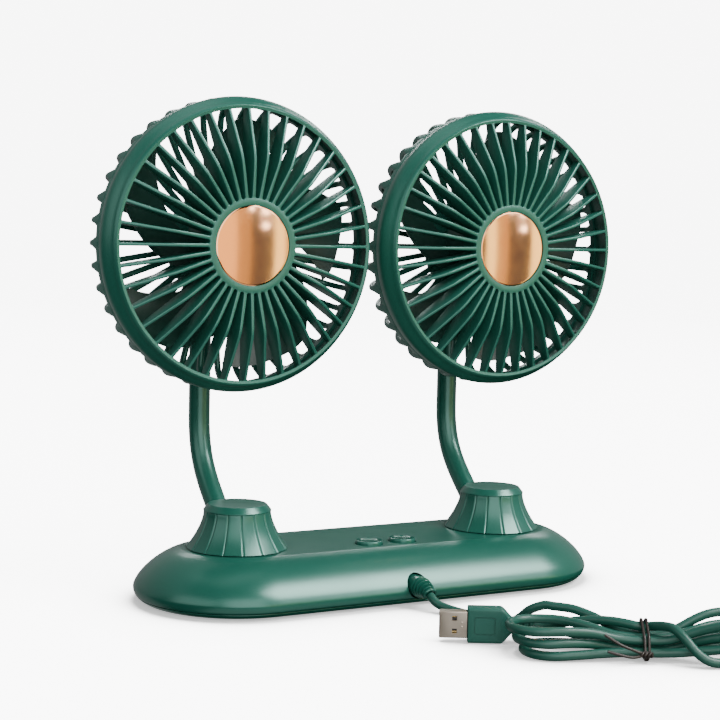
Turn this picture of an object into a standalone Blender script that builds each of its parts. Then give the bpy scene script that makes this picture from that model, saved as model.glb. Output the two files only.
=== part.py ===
"""A desk fan: two caged heads on curved arms over one pill-shaped base, with its cord.

Metres, +Z up. X runs along the base and the heads look along -Y. The origin is on the
floor, under the middle of the base.
"""

import math

import bmesh
import bpy
import numpy as np
from mathutils import Vector

MM = 0.001

# Clearances and cutters
FIT_GAP = 0.3 * MM
CUT_OVERRUN = 2.0 * MM
JOIN_OVERLAP = 0.5 * MM
SMOOTH_ANGLE = math.radians(35)

# Driving dimensions of the whole fan
TURRET_SPACING = 145.0 * MM
HEAD_AXIS_HEIGHT = 168.7 * MM
HEAD_FORWARD = 13.3 * MM
ARM_BACKSET = 46.0 * MM
SIDES = (("left", -1), ("right", 1))

# Base
BASE_HEIGHT = 25.0 * MM
BASE_HALF_WIDTH = 49.0 * MM
BASE_BOTTOM_HALF_WIDTH = 40.4 * MM
DECK_HALF_WIDTH = 26.3 * MM
WIDEST_HEIGHT = 7.0 * MM
PARTING_HEIGHT = 3.2 * MM
FLANK_POWER = 1.366
BASE_WALL = 2.2 * MM
OUTER_FLANK_STEPS = 6
INNER_FLANK_STEPS = 3
PILL_SEGMENTS = 10

# Bottom cover, pad and screws
PAD_PROUD = 0.6 * MM
PAD_THICKNESS = 1.9 * MM
PAD_HALF_WIDTH = 36.0 * MM
COVER_FLOOR = 2.0 * MM
COVER_LIP_HEIGHT = 2.0 * MM
COVER_LIP_WALL = 1.6 * MM
SCREW_POST_X = 42.0 * MM
SCREW_POST_Y = 20.0 * MM
SCREW_POST_RADIUS = 3.4 * MM
SCREW_BOSS_RADIUS = 4.4 * MM
SCREW_BOSS_HEIGHT = 2.0 * MM
SCREW_SHANK_RADIUS = 1.0 * MM
SCREW_HEAD_RADIUS = 2.6 * MM
SCREW_HEAD_HEIGHT = 1.4 * MM
SCREW_LENGTH = 9.0 * MM
POST_SEGMENTS = 8
HOLE_SEGMENTS = 6

# Circuit board, switches and buttons
BOARD_LENGTH = 64.0 * MM
BOARD_WIDTH = 36.0 * MM
BOARD_THICKNESS = 1.6 * MM
BOARD_HEIGHT = 10.0 * MM
BOARD_BOSS_RADIUS = 2.5 * MM
BOARD_BOSS_INSET = 4.0 * MM
BUTTON_SPACING = 18.6 * MM
BUTTON_FORWARD = 16.4 * MM
BUTTON_RADIUS = 6.65 * MM
BUTTON_PROUD = 1.3 * MM
BUTTON_EDGE_ROUND = 0.5 * MM
BUTTON_FLANGE = 1.0 * MM
BUTTON_TRAVEL = 1.2 * MM
BUTTON_STEM_RADIUS = 2.6 * MM
SWITCH_SIZE = 6.0 * MM
SWITCH_HEIGHT = 3.8 * MM
PLUNGER_RADIUS = 1.75 * MM
PLUNGER_HEIGHT = 1.6 * MM

# Turrets
TURRET_BASE_RADIUS = 23.6 * MM
TURRET_TOP_RADIUS = 15.6 * MM
TURRET_HEIGHT = 17.4 * MM
TURRET_FLARE_POWER = 1.33
TURRET_LEVELS = 3
FLUTES = 16
FLUTE_DEPTH = 0.55 * MM
FLUTE_WIDTH = 1.2 * MM
FLUTE_PHASE = math.radians(4.7)
TURRET_BORE_RADIUS = 8.0 * MM
STEM_RADIUS = 11.0 * MM
STEM_DROP = 5.6 * MM
STEM_GROOVE_DEPTH = 1.2 * MM
RETAINER_THICKNESS = 1.2 * MM
RETAINER_RADIUS = 15.0 * MM
CAP_TOP_RADIUS = 13.4 * MM
CAP_HEIGHT = 3.2 * MM
CAP_EDGE = 0.5 * MM
CAP_SPIGOT = 2.0 * MM
TURNED_SEGMENTS = 20
SMALL_SEGMENTS = 16

# Arms
ARM_RADIUS = 5.3 * MM
ARM_BORE_RADIUS = 3.3 * MM
ARM_ROOT_BACK = 12.5 * MM
ARM_ROOT_HEIGHT = 30.4 * MM
ARM_ROOT_ANGLE = math.radians(46)
ARM_UPRIGHT_FROM = 84.0 * MM
ARM_CURVE_PULL = 27.0 * MM
ARM_CURVE_STEPS = 6
ARM_SEGMENTS = 12
EYE_RADIUS = 6.5 * MM
EYE_WIDTH = 9.0 * MM
EYE_NECK_DEPTH = 8.4 * MM
ARM_SHOULDER_DROP = 9.5 * MM
TILT_SCREW_RADIUS = 1.5 * MM
TILT_SCREW_HEAD_RADIUS = 3.2 * MM
TILT_SCREW_HEAD_HEIGHT = 1.8 * MM
EYE_SEGMENTS = 16

# Grilles: radii from the head's axis, depths behind the crown of the hub disc
RIBS = 40
HEAD_GAP = 6.2 * MM
RIM_WIDEST_DEPTH = 14.8 * MM
RIM_BACK_DEPTH = 18.9 * MM
RIM_BACK_INSET = 0.6 * MM
RIM_SHOULDER_INSET = 2.9 * MM
RIM_SHOULDER_SETBACK = 2.1 * MM
RIM_LIP_DEPTH = 6.5 * MM
RIM_LIP_INSET = 4.3 * MM
RIM_LIP_WALL = 1.7 * MM
RIM_LIP_ROUND = 0.2 * MM
RIM_WALL = 2.2 * MM
RIM_DRAFT = 0.6 * MM
FRONT_RIB_WIDTH = 1.5 * MM
FRONT_RIB_BACK_DEPTH = 11.7 * MM
RIB_BEND_RADIUS = 41.0 * MM
RIB_BULGE = 0.9 * MM
HUB_RADIUS = 21.9 * MM
HUB_WALL = 2.0 * MM
HUB_CREST = 0.4 * MM
HUB_CREST_INSET = 1.4 * MM
DISC_RADIUS = 18.6 * MM
DISC_CROWN = 0.7 * MM
DISC_THICKNESS = 1.5 * MM
DISC_RINGS = 3
DISC_SEGMENTS = 24

REAR_RING_LENGTH = 3.6 * MM
REAR_RIB_WIDTH = 2.2 * MM
REAR_RIB_DEPTH = 3.4 * MM
REAR_CORNER_DEPTH = 28.5 * MM
REAR_SHOULDER_INSET = 5.9 * MM
REAR_SHOULDER_DEPTH = 37.8 * MM
PLATE_RADIUS = 26.0 * MM
PLATE_DEPTH = 41.2 * MM
PLATE_THICKNESS = 2.5 * MM

# Motor and its housing
MOTOR_RADIUS = 13.5 * MM
MOTOR_FRONT_DEPTH = 19.0 * MM
MOTOR_BACK_DEPTH = 43.0 * MM
SHAFT_RADIUS = 1.25 * MM
SHAFT_LENGTH = 26.0 * MM
HOUSING_RADIUS = 16.2 * MM
HOUSING_FRONT_DEPTH = 27.0 * MM
HOUSING_BACK_DEPTH = 49.0 * MM
HOUSING_BACK_RADIUS = 14.5 * MM
HOUSING_FLANGE_RADIUS = 24.0 * MM
HOUSING_FLANGE_THICKNESS = 2.5 * MM
HOUSING_SCREWS = 3
HOUSING_SCREW_RADIUS = 0.9 * MM
HOUSING_SCREW_LENGTH = 5.0 * MM
HOUSING_SCREW_HEAD_RADIUS = 1.9 * MM
HOUSING_SCREW_HEAD_HEIGHT = 1.2 * MM
LUG_THICKNESS = 3.2 * MM
LUG_SEGMENTS = 6

# Impeller
BLADES = 5
BLADE_PHASE = math.radians(47.9)
BLADE_TIP_CLEARANCE = 2.9 * MM
BLADE_THICKNESS = 1.6 * MM
BLADE_FRONT_DEPTH = 16.7 * MM
BLADE_BACK_DEPTH = 35.3 * MM
BLADE_ROOT_SWEEP = math.radians(25)
BLADE_TIP_SWEEP = math.radians(19.5)
BLADE_LEAN = math.radians(46)
BLADE_CAMBER = 3.2 * MM
BLADE_TIP_ROUND = 3.0 * MM
BLADE_SPAN_STEPS = 4
BLADE_CHORD_STEPS = 3
CUP_RADIUS = 19.5 * MM
CUP_WALL = 2.0 * MM
CUP_CLEARANCE = 1.3 * MM
CUP_BACK_DEPTH = 33.5 * MM
CUP_ROUND = 2.0 * MM
CUP_BOSS_RADIUS = 4.0 * MM
CUP_BOSS_LENGTH = 3.2 * MM

# Cord, measured across its round section
CORD_RADIUS = 2.0 * MM
CORD_POINT_SPACING = 9.0 * MM
GLAND_HEIGHT = 9.4 * MM
GLAND_RADIUS = 6.5 * MM
RELIEF_ROOT_RADIUS = 6.0 * MM
RELIEF_ROOT_INSET = 7.0 * MM
RELIEF_ROOT_PROUD = 1.3 * MM
RELIEF_RINGS = 3
RELIEF_RING_RADIUS = 5.5 * MM
RELIEF_END_RADIUS = 4.3 * MM
RELIEF_GROOVE_DEPTH = 0.9 * MM
RELIEF_RING_LENGTH = 1.6 * MM
RELIEF_GROOVE_LENGTH = 1.0 * MM
RELIEF_RAMP = 0.2 * MM
RELIEF_DROOP = math.radians(28)
RELIEF_SEGMENTS = 12

# Hank: u runs along it, v across it towards the base, both from the tie, and z up from the floor
HANK_CENTRE_X = 39.0 * MM
HANK_CENTRE_Y = -168.0 * MM
HANK_TURN = math.radians(-30)
HANK_HALF_LENGTH = 54.0 * MM
HANK_FOLD_RADIUS = 12.0 * MM
HANK_STEP = 5.1 * MM
HANK_WAIST_HALF_LENGTH = 5.0 * MM
HANK_STAGGER = 3.0 * MM
HANK_RUN_STEPS = 8
HANK_FOLD_STEPS = 5
FRONT_ROW = -1
BACK_ROW = 1
TIE_ANGLES = {FRONT_ROW: (0, 120), BACK_ROW: (0, 60, 180)}
TAIL_OFFSET = 18.0 * MM
TAIL_END = 45.0 * MM
TIE_WIDTH = 3.0 * MM
TIE_THICKNESS = 0.8 * MM
TIE_SEGMENTS = 20
TIE_TAIL_LENGTH = 13.0 * MM
TIE_TAIL_RADIUS = 0.8 * MM

# The cord's hand-chosen route in millimetres: (u, v, z) by the hank, (x, y, z) on the floor
STRAND_BEHIND_TIE = (
    (-35, 17.3, 9.0),
    (-28, 15.2, 10.7),
    (-20, 10.6, 12.5),
    (-13, 6.6, 13.2),
    (-7, 4.0, 12.9),
)
STRAND_UNDER_TIE = ((-2.5, 2.55, 12.3), (2.5, 2.55, 12.3))
STRAND_BEFORE_TIE = (
    (7, -2.6, 13.7),
    (11, -7.8, 14.0),
    (15, -12.9, 11.0),
    (20, -16.4, 5.6),
    (26, -17.2, 2.4),
    (34, -15.4, 2),
)
STRAND_TO_LEAD = (
    (-3, 5.1, 7.8),
    (-8, 8.0, 8.6),
    (-14, 12.8, 10.6),
    (-20, 16.8, 12.8),
    (-27, 20.6, 14.6),
    (-32, 22.7, 15.0),
    (-36, 24.4, 15.0),
)
LEAD_BY_HANK = ((-46, 28.4, 12.2), (-51, 33.0, 6.8))
LEAD_ON_FLOOR = ((9.4, -104.0, 2.2), (9.0, -94.0, 2), (8.6, -84.0, 2), (6.6, -74.6, 2), (2.0, -66.6, 3.4))

# USB plug: lengths along it, from its cord end
PLUG_WIDTH = 15.6 * MM
PLUG_THICKNESS = 8.0 * MM
PLUG_CORNER = 1.6 * MM
CORNER_STEPS = 2
PLUG_SLEEVE_RADIUS = 3.2 * MM
PLUG_SLEEVE_GROOVE = 0.7 * MM
PLUG_SLEEVE_LENGTH = 7.4 * MM
PLUG_SLEEVE_RINGS = 3
PLUG_TAPER_LENGTH = 7.0 * MM
PLUG_BODY_LENGTH = 28.5 * MM
SHELL_WIDTH = 12.0 * MM
SHELL_THICKNESS = 4.5 * MM
SHELL_LENGTH = 12.0 * MM
SHELL_WALL = 0.4 * MM
SHELL_CORNER = 0.7 * MM
SHELL_WINDOW = 2.1 * MM
SHELL_WINDOW_SPACING = 5.6 * MM
SHELL_WINDOW_FROM_TIP = 6.6 * MM
TONGUE_THICKNESS = 1.9 * MM
TONGUE_RECESS = 1.0 * MM

# Values worked out from the ones above
HALF_SPACING = TURRET_SPACING / 2
COVER_BOTTOM = PAD_PROUD
RECESS_CEILING = PAD_THICKNESS + FIT_GAP
COVER_TOP = PARTING_HEIGHT - FIT_GAP / 2
SHELL_BOTTOM = PARTING_HEIGHT + FIT_GAP / 2
FLOOR_TOP = RECESS_CEILING + COVER_FLOOR
DECK_UNDERSIDE = BASE_HEIGHT - BASE_WALL
BOSS_TOP = FLOOR_TOP + SCREW_BOSS_HEIGHT
SCREW_SEAT = FLOOR_TOP
BOARD_TOP = BOARD_HEIGHT + BOARD_THICKNESS
SWITCH_BOTTOM = BOARD_TOP + FIT_GAP
SWITCH_TOP = SWITCH_BOTTOM + SWITCH_HEIGHT + PLUNGER_HEIGHT
STEM_HOLE_RADIUS = STEM_RADIUS + FIT_GAP
TURRET_BOTTOM = BASE_HEIGHT + FIT_GAP
CAP_BOTTOM = TURRET_BOTTOM + TURRET_HEIGHT + FIT_GAP
RIM_RADIUS = HALF_SPACING - HEAD_GAP / 2
RIM_BACK_RADIUS = RIM_RADIUS - RIM_BACK_INSET
RIM_LIP_RADIUS = RIM_RADIUS - RIM_LIP_INSET
RIM_INNER_RADIUS = RIM_LIP_RADIUS - RIM_LIP_WALL
DISC_SEAT_DEPTH = DISC_THICKNESS + FIT_GAP
REAR_RING_FRONT = RIM_BACK_DEPTH + FIT_GAP
REAR_RING_BACK = REAR_RING_FRONT + REAR_RING_LENGTH
REAR_CORNER_RADIUS = RIM_BACK_RADIUS - REAR_RIB_DEPTH / 2
REAR_SHOULDER_RADIUS = REAR_CORNER_RADIUS - REAR_SHOULDER_INSET
PLATE_BACK_DEPTH = PLATE_DEPTH + PLATE_THICKNESS
HOUSING_FLANGE_DEPTH = PLATE_BACK_DEPTH + FIT_GAP
BLADE_TIP_RADIUS = RIM_INNER_RADIUS - BLADE_TIP_CLEARANCE
CUP_FRONT_DEPTH = FRONT_RIB_BACK_DEPTH + CUP_CLEARANCE
TILT_DEPTH = HEAD_FORWARD + ARM_BACKSET
LUG_INNER = EYE_WIDTH / 2 + FIT_GAP
LUG_OUTER = LUG_INNER + LUG_THICKNESS
RELIEF_ROOT_BACK = BASE_HALF_WIDTH - RELIEF_ROOT_INSET
RELIEF_ROOT_FRONT = BASE_HALF_WIDTH + RELIEF_ROOT_PROUD
HANK_LIFT = TIE_THICKNESS + 2 * FIT_GAP
HANK_RUN_END = HANK_HALF_LENGTH - HANK_FOLD_RADIUS
HANK_WAIST_HALF_WIDTH = HANK_STEP * 3 / 2
PLUG_HEIGHT = PLUG_WIDTH / 2

COLOURS = {
    "green_plastic": ((0.022, 0.105, 0.078), 0.38, 0.0),
    "dark_plastic": ((0.012, 0.060, 0.046), 0.5, 0.0),
    "copper": ((0.80, 0.45, 0.30), 0.16, 1.0),
    "steel": ((0.55, 0.55, 0.55), 0.35, 1.0),
    "nickel": ((0.55, 0.48, 0.40), 0.3, 1.0),
    "board": ((0.02, 0.16, 0.05), 0.6, 0.0),
    "silicone": ((0.02, 0.02, 0.02), 0.8, 0.0),
    "cord": ((0.022, 0.105, 0.078), 0.5, 0.0),
    "tie": ((0.03, 0.022, 0.02), 0.6, 0.0),
    "tongue": ((0.80, 0.80, 0.78), 0.5, 0.0),
}


def clear_scene():
    """Start with no objects."""
    for item in list(bpy.data.objects):
        bpy.data.objects.remove(item, do_unlink=True)


def material(name):
    """The Principled material of that name, made once."""
    if name in bpy.data.materials:
        return bpy.data.materials[name]
    colour, roughness, metallic = COLOURS[name]
    made = bpy.data.materials.new(name)
    made.use_nodes = True
    shader = made.node_tree.nodes["Principled BSDF"]
    shader.inputs["Base Color"].default_value = (*colour, 1.0)
    shader.inputs["Roughness"].default_value = roughness
    shader.inputs["Metallic"].default_value = metallic
    made.diffuse_color = (*colour, 1.0)
    return made


# Mesh helpers


def finish_mesh(bm, name):
    """Turn a bmesh into a mesh whose faces point out and whose round sides are smooth."""
    bmesh.ops.recalc_face_normals(bm, faces=bm.faces)
    mesh = bpy.data.meshes.new(name)
    bm.to_mesh(mesh)
    bm.free()
    mesh.shade_smooth()
    mesh.set_sharp_from_angle(angle=SMOOTH_ANGLE)
    return mesh


def loft(bm, loops, ring=False):
    """Skin loops of points that have the same count; ring joins the ends, or else they are capped."""
    rows = [[bm.verts.new(point) for point in loop] for loop in loops]
    pairs = list(zip(rows, rows[1:]))
    if ring:
        pairs.append((rows[-1], rows[0]))
    for low, high in pairs:
        for i, corner in enumerate(low):
            j = (i + 1) % len(low)
            bm.faces.new((corner, low[j], high[j], high[i]))
    if not ring:
        bm.faces.new(rows[0][::-1])
        bm.faces.new(rows[-1])


def loft_mesh(name, loops, ring=False):
    """One lofted skin as a mesh."""
    bm = bmesh.new()
    loft(bm, loops, ring)
    return finish_mesh(bm, name)


def circle(radius, height, segments, centre=(0, 0)):
    """A level ring of points."""
    return [
        (
            centre[0] + radius * math.cos(math.tau * i / segments),
            centre[1] + radius * math.sin(math.tau * i / segments),
            height,
        )
        for i in range(segments)
    ]


def turned(name, profile, segments, ring=False):
    """A turned shape around Z from (radius, height) pairs."""
    return loft_mesh(name, [circle(r, z, segments) for r, z in profile], ring)


def rods(name, centres, profile, segments):
    """Equal turned shapes that stand on several centres, in one mesh."""
    bm = bmesh.new()
    for centre in centres:
        loft(bm, [circle(r, z, segments, centre) for r, z in profile])
    return finish_mesh(bm, name)


def boxes(name, spans):
    """Boxes from (low corner, high corner) pairs, in one mesh."""
    bm = bmesh.new()
    for low, high in spans:
        (x0, y0, z0), (x1, y1, z1) = low, high
        loft(bm, [[(x0, y0, z), (x1, y0, z), (x1, y1, z), (x0, y1, z)] for z in (z0, z1)])
    return finish_mesh(bm, name)


def pill(radius, height):
    """A level pill outline of that half-width around both turret axes."""
    points = []
    for centre_x, start in ((HALF_SPACING, -math.pi / 2), (-HALF_SPACING, math.pi / 2)):
        for i in range(PILL_SEGMENTS + 1):
            angle = start + math.pi * i / PILL_SEGMENTS
            points.append((centre_x + radius * math.cos(angle), radius * math.sin(angle), height))
    return points


def rounded_rectangle(half_width, half_height, corner):
    """A rounded rectangle's points, anticlockwise from its lower right corner."""
    points = []
    for sx, sy, start in ((1, -1, -math.pi / 2), (1, 1, 0), (-1, 1, math.pi / 2), (-1, -1, math.pi)):
        for i in range(CORNER_STEPS + 1):
            angle = start + math.pi / 2 * i / CORNER_STEPS
            x = sx * (half_width - corner) + corner * math.cos(angle)
            y = sy * (half_height - corner) + corner * math.sin(angle)
            points.append((x, y))
    return points


def put(name, mesh, finish, parent=None, location=(0, 0, 0), rotation=(0, 0, 0)):
    """Link a mesh as a named object with its own material."""
    made = bpy.data.objects.new(name, mesh)
    bpy.context.scene.collection.objects.link(made)
    made.parent = parent
    made.location = location
    made.rotation_euler = rotation
    if not mesh.materials:
        mesh.materials.append(material(finish))
    return made


def axis_empty(name, location, parent=None):
    """An empty on a joint's axis."""
    made = bpy.data.objects.new(name, None)
    bpy.context.scene.collection.objects.link(made)
    made.parent = parent
    made.location = location
    return made


def combine(target, operation, tool_mesh):
    """Join or cut the target with a tool that lies in the target's own coordinates."""
    tool = bpy.data.objects.new(f"tool_{target.name}_{tool_mesh.name}", tool_mesh)
    bpy.context.scene.collection.objects.link(tool)
    tool.parent = target.parent
    tool.location = target.location
    tool.rotation_euler = target.rotation_euler
    tool.hide_render = True
    tool.display_type = "WIRE"
    modifier = target.modifiers.new(tool_mesh.name, "BOOLEAN")
    modifier.operation = operation
    modifier.solver = "EXACT"
    modifier.object = tool


def upright_sections(path, loops_at):
    """Loops of (side, along-normal) points set square to a path in the YZ plane, sides along X."""
    path = [Vector(point) for point in path]
    sections = []
    for i, point in enumerate(path):
        ahead = path[min(i + 1, len(path) - 1)] - path[max(i - 1, 0)]
        normal = Vector((1, 0, 0)).cross(ahead.normalized())
        sections.append([point + Vector((1, 0, 0)) * a + normal * b for a, b in loops_at(i)])
    return sections


def flat_circle(radius, segments):
    """Points of a circle as (a, b) pairs."""
    steps = [math.tau * i / segments for i in range(segments)]
    return [(radius * math.cos(step), radius * math.sin(step)) for step in steps]


# Base


def upper_flank(share):
    """Half-width and height on the flank, from the widest line at 0 to the deck's edge at 1."""
    angle = share * math.pi / 2
    out = max(math.cos(angle), 0.0) ** FLANK_POWER
    up = math.sin(angle) ** FLANK_POWER
    half_width = DECK_HALF_WIDTH + (BASE_HALF_WIDTH - DECK_HALF_WIDTH) * out
    return half_width, WIDEST_HEIGHT + (BASE_HEIGHT - WIDEST_HEIGHT) * up


def lower_half_width(height):
    """Half-width of the flank where it turns in under the widest line."""
    drop = (WIDEST_HEIGHT - height) / WIDEST_HEIGHT
    spread = BASE_HALF_WIDTH - BASE_BOTTOM_HALF_WIDTH
    return BASE_BOTTOM_HALF_WIDTH + spread * math.sqrt(1 - drop * drop)


def inward(profile):
    """The profile moved in by the wall, square to its run."""
    moved = []
    for i, (width, height) in enumerate(profile):
        before = profile[max(i - 1, 0)]
        after = profile[min(i + 1, len(profile) - 1)]
        run = math.hypot(after[0] - before[0], after[1] - before[1])
        across = (after[1] - before[1]) / run
        up = (before[0] - after[0]) / run
        moved.append((width - BASE_WALL * across, height - BASE_WALL * up))
    return moved


def flank_profile(steps):
    """The flank from the parting line to the deck's edge as (half-width, height) pairs."""
    middle = (SHELL_BOTTOM + WIDEST_HEIGHT) / 2
    profile = [(lower_half_width(SHELL_BOTTOM), SHELL_BOTTOM), (lower_half_width(middle), middle)]
    return profile + [upper_flank(i / steps) for i in range(steps + 1)]


def post_centres():
    """Where the four base screws stand."""
    return [(x, y) for x in (-SCREW_POST_X, SCREW_POST_X) for y in (-SCREW_POST_Y, SCREW_POST_Y)]


def button_centres():
    """The two buttons' axes."""
    return [(side * BUTTON_SPACING / 2, -BUTTON_FORWARD) for _, side in SIDES]


def gland_cutter():
    """A rod along Y through the front flank, where the strain relief passes."""
    loops = []
    for y in (-BASE_HALF_WIDTH - CUT_OVERRUN, -RELIEF_ROOT_BACK + CUT_OVERRUN):
        loops.append([(a, y, GLAND_HEIGHT + b) for a, b in flat_circle(GLAND_RADIUS, RELIEF_SEGMENTS)])
    return loft_mesh("gland_hole", loops)


def make_top_shell():
    """The hollow moulded top with its deck, screw posts and holes."""
    inner = inward(flank_profile(INNER_FLANK_STEPS))
    inner[0] = (lower_half_width(SHELL_BOTTOM) - BASE_WALL, SHELL_BOTTOM)
    inner[-1] = (DECK_HALF_WIDTH, DECK_UNDERSIDE)
    sections = inner[::-1] + flank_profile(OUTER_FLANK_STEPS)
    mesh = loft_mesh("base_top_shell", [pill(r, z) for r, z in sections])
    shell = put("base_top_shell", mesh, "green_plastic")
    post_bottom = BOSS_TOP + FIT_GAP
    post = [(SCREW_POST_RADIUS, post_bottom), (SCREW_POST_RADIUS, DECK_UNDERSIDE + JOIN_OVERLAP)]
    combine(shell, "UNION", rods("screw_posts", post_centres(), post, POST_SEGMENTS))
    pilot_radius = SCREW_SHANK_RADIUS + FIT_GAP
    pilot = [(pilot_radius, post_bottom - CUT_OVERRUN), (pilot_radius, BOSS_TOP + SCREW_LENGTH)]
    combine(shell, "DIFFERENCE", rods("pilot_holes", post_centres(), pilot, POST_SEGMENTS))
    deck_cut = (DECK_UNDERSIDE - CUT_OVERRUN, BASE_HEIGHT + CUT_OVERRUN)
    stem = [(STEM_HOLE_RADIUS, z) for z in deck_cut]
    turret_centres = [(side * HALF_SPACING, 0) for _, side in SIDES]
    combine(shell, "DIFFERENCE", rods("stem_holes", turret_centres, stem, TURNED_SEGMENTS))
    button = [(BUTTON_RADIUS + FIT_GAP, z) for z in deck_cut]
    combine(shell, "DIFFERENCE", rods("button_holes", button_centres(), button, SMALL_SEGMENTS))
    combine(shell, "DIFFERENCE", gland_cutter())


def make_bottom_cover():
    """The cover under the parting line, with its lip, screw bosses, board bosses and pad recess."""
    recess = PAD_HALF_WIDTH + FIT_GAP
    lip = lower_half_width(SHELL_BOTTOM) - BASE_WALL - FIT_GAP
    lip_top = COVER_TOP + COVER_LIP_HEIGHT
    sections = [
        (recess, RECESS_CEILING),
        (recess, COVER_BOTTOM),
        (lower_half_width(COVER_BOTTOM), COVER_BOTTOM),
        (lower_half_width((COVER_BOTTOM + COVER_TOP) / 2), (COVER_BOTTOM + COVER_TOP) / 2),
        (lower_half_width(COVER_TOP), COVER_TOP),
        (lip, COVER_TOP),
        (lip, lip_top),
        (lip - COVER_LIP_WALL, lip_top),
        (lip - COVER_LIP_WALL, FLOOR_TOP),
    ]
    mesh = loft_mesh("base_bottom_cover", [pill(r, z) for r, z in sections])
    cover = put("base_bottom_cover", mesh, "green_plastic")
    root = FLOOR_TOP - JOIN_OVERLAP
    boss = [(SCREW_BOSS_RADIUS, root), (SCREW_BOSS_RADIUS, BOSS_TOP)]
    combine(cover, "UNION", rods("screw_bosses", post_centres(), boss, POST_SEGMENTS))
    stand = [(BOARD_BOSS_RADIUS, root), (BOARD_BOSS_RADIUS, BOARD_HEIGHT - FIT_GAP)]
    combine(cover, "UNION", rods("board_bosses", board_boss_centres(), stand, POST_SEGMENTS))
    hole = SCREW_SHANK_RADIUS + 2 * FIT_GAP
    head = SCREW_HEAD_RADIUS + FIT_GAP
    screw_hole = [
        (head, RECESS_CEILING - CUT_OVERRUN),
        (head, SCREW_SEAT),
        (hole, SCREW_SEAT),
        (hole, BOSS_TOP + CUT_OVERRUN),
    ]
    combine(cover, "DIFFERENCE", rods("screw_holes", post_centres(), screw_hole, POST_SEGMENTS))
    combine(cover, "DIFFERENCE", gland_cutter())


def board_boss_centres():
    """The four bosses under the circuit board."""
    x = BOARD_LENGTH / 2 - BOARD_BOSS_INSET
    y = BOARD_WIDTH / 2 - BOARD_BOSS_INSET
    return [(i * x, -BUTTON_FORWARD + j * y) for i in (-1, 1) for j in (-1, 1)]


def make_base_small_parts():
    """Pad, screws, circuit board and switches."""
    pad = [pill(PAD_HALF_WIDTH, 0), pill(PAD_HALF_WIDTH, PAD_THICKNESS)]
    put("anti_slip_pad", loft_mesh("anti_slip_pad", pad), "silicone")
    head_top = SCREW_SEAT - FIT_GAP
    screw = [
        (SCREW_HEAD_RADIUS, head_top - SCREW_HEAD_HEIGHT),
        (SCREW_HEAD_RADIUS, head_top),
        (SCREW_SHANK_RADIUS, head_top),
        (SCREW_SHANK_RADIUS, head_top + SCREW_LENGTH),
    ]
    mesh = turned("base_screw", screw, HOLE_SEGMENTS)
    for i, centre in enumerate(post_centres()):
        put(f"base_screw_{i + 1}", mesh, "steel", location=(*centre, 0))
    half_length = BOARD_LENGTH / 2
    low_y = -BUTTON_FORWARD - BOARD_WIDTH / 2
    corners = ((-half_length, low_y, BOARD_HEIGHT), (half_length, low_y + BOARD_WIDTH, BOARD_TOP))
    put("circuit_board", boxes("circuit_board", [corners]), "board")
    for (side, _), (x, y) in zip(SIDES, button_centres()):
        half = SWITCH_SIZE / 2
        case_top = SWITCH_BOTTOM + SWITCH_HEIGHT
        case = boxes(f"{side}_switch", [((-half, -half, SWITCH_BOTTOM), (half, half, case_top))])
        switch = put(f"{side}_switch", case, "dark_plastic", location=(x, y, 0))
        plunger = [(PLUNGER_RADIUS, case_top - JOIN_OVERLAP), (PLUNGER_RADIUS, SWITCH_TOP)]
        combine(switch, "UNION", turned("plunger", plunger, POST_SEGMENTS))


def make_buttons():
    """Two push buttons; each travels down through the deck onto its switch."""
    top = BASE_HEIGHT + BUTTON_PROUD
    flange_top = DECK_UNDERSIDE - FIT_GAP
    flange_radius = BUTTON_RADIUS + BUTTON_FLANGE
    stem_bottom = SWITCH_TOP + BUTTON_TRAVEL + FIT_GAP
    profile = [
        (BUTTON_STEM_RADIUS, stem_bottom),
        (BUTTON_STEM_RADIUS, flange_top - BUTTON_FLANGE),
        (flange_radius, flange_top - BUTTON_FLANGE),
        (flange_radius, flange_top),
        (BUTTON_RADIUS, flange_top),
        (BUTTON_RADIUS, top - BUTTON_EDGE_ROUND),
        (BUTTON_RADIUS - BUTTON_EDGE_ROUND, top),
    ]
    for (side, _), (x, y) in zip(SIDES, button_centres()):
        mesh = turned(f"{side}_button", [(r, z - top) for r, z in profile], SMALL_SEGMENTS)
        put(f"{side}_button", mesh, "green_plastic", location=(x, y, top))


# Turrets and arms; heights in their meshes are measured from the deck's swivel empty


def turret_radius(share):
    """Radius of the flared flank, from its foot at 0 to its top at 1."""
    return TURRET_TOP_RADIUS + (TURRET_BASE_RADIUS - TURRET_TOP_RADIUS) * (1 - share) ** TURRET_FLARE_POWER


def fluted_loop(radius, height):
    """A ring of panels parted by narrow grooves."""
    half_groove = math.asin(FLUTE_WIDTH / 2 / radius)
    points = []
    for i in range(FLUTES):
        middle = FLUTE_PHASE + math.tau * i / FLUTES
        for turn, reach in ((-half_groove, radius), (0.0, radius - FLUTE_DEPTH), (half_groove, radius)):
            points.append((reach * math.cos(middle + turn), reach * math.sin(middle + turn), height))
    return points


def arm_path():
    """The arm's centre line in its YZ plane: straight out of the turret, then curving upright."""
    start = Vector((0, ARM_ROOT_BACK, ARM_ROOT_HEIGHT))
    lean = Vector((0, math.cos(ARM_ROOT_ANGLE), math.sin(ARM_ROOT_ANGLE)))
    end = Vector((0, ARM_BACKSET, ARM_UPRIGHT_FROM))
    pull_start = start + lean * ARM_CURVE_PULL
    pull_end = end - Vector((0, 0, ARM_CURVE_PULL))
    points = []
    for i in range(ARM_CURVE_STEPS + 1):
        t = i / ARM_CURVE_STEPS
        s = 1 - t
        points.append(start * s**3 + pull_start * (3 * s * s * t) + pull_end * (3 * s * t * t) + end * t**3)
    points.append(Vector((0, ARM_BACKSET, HEAD_AXIS_HEIGHT - ARM_SHOULDER_DROP)))
    return points


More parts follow.
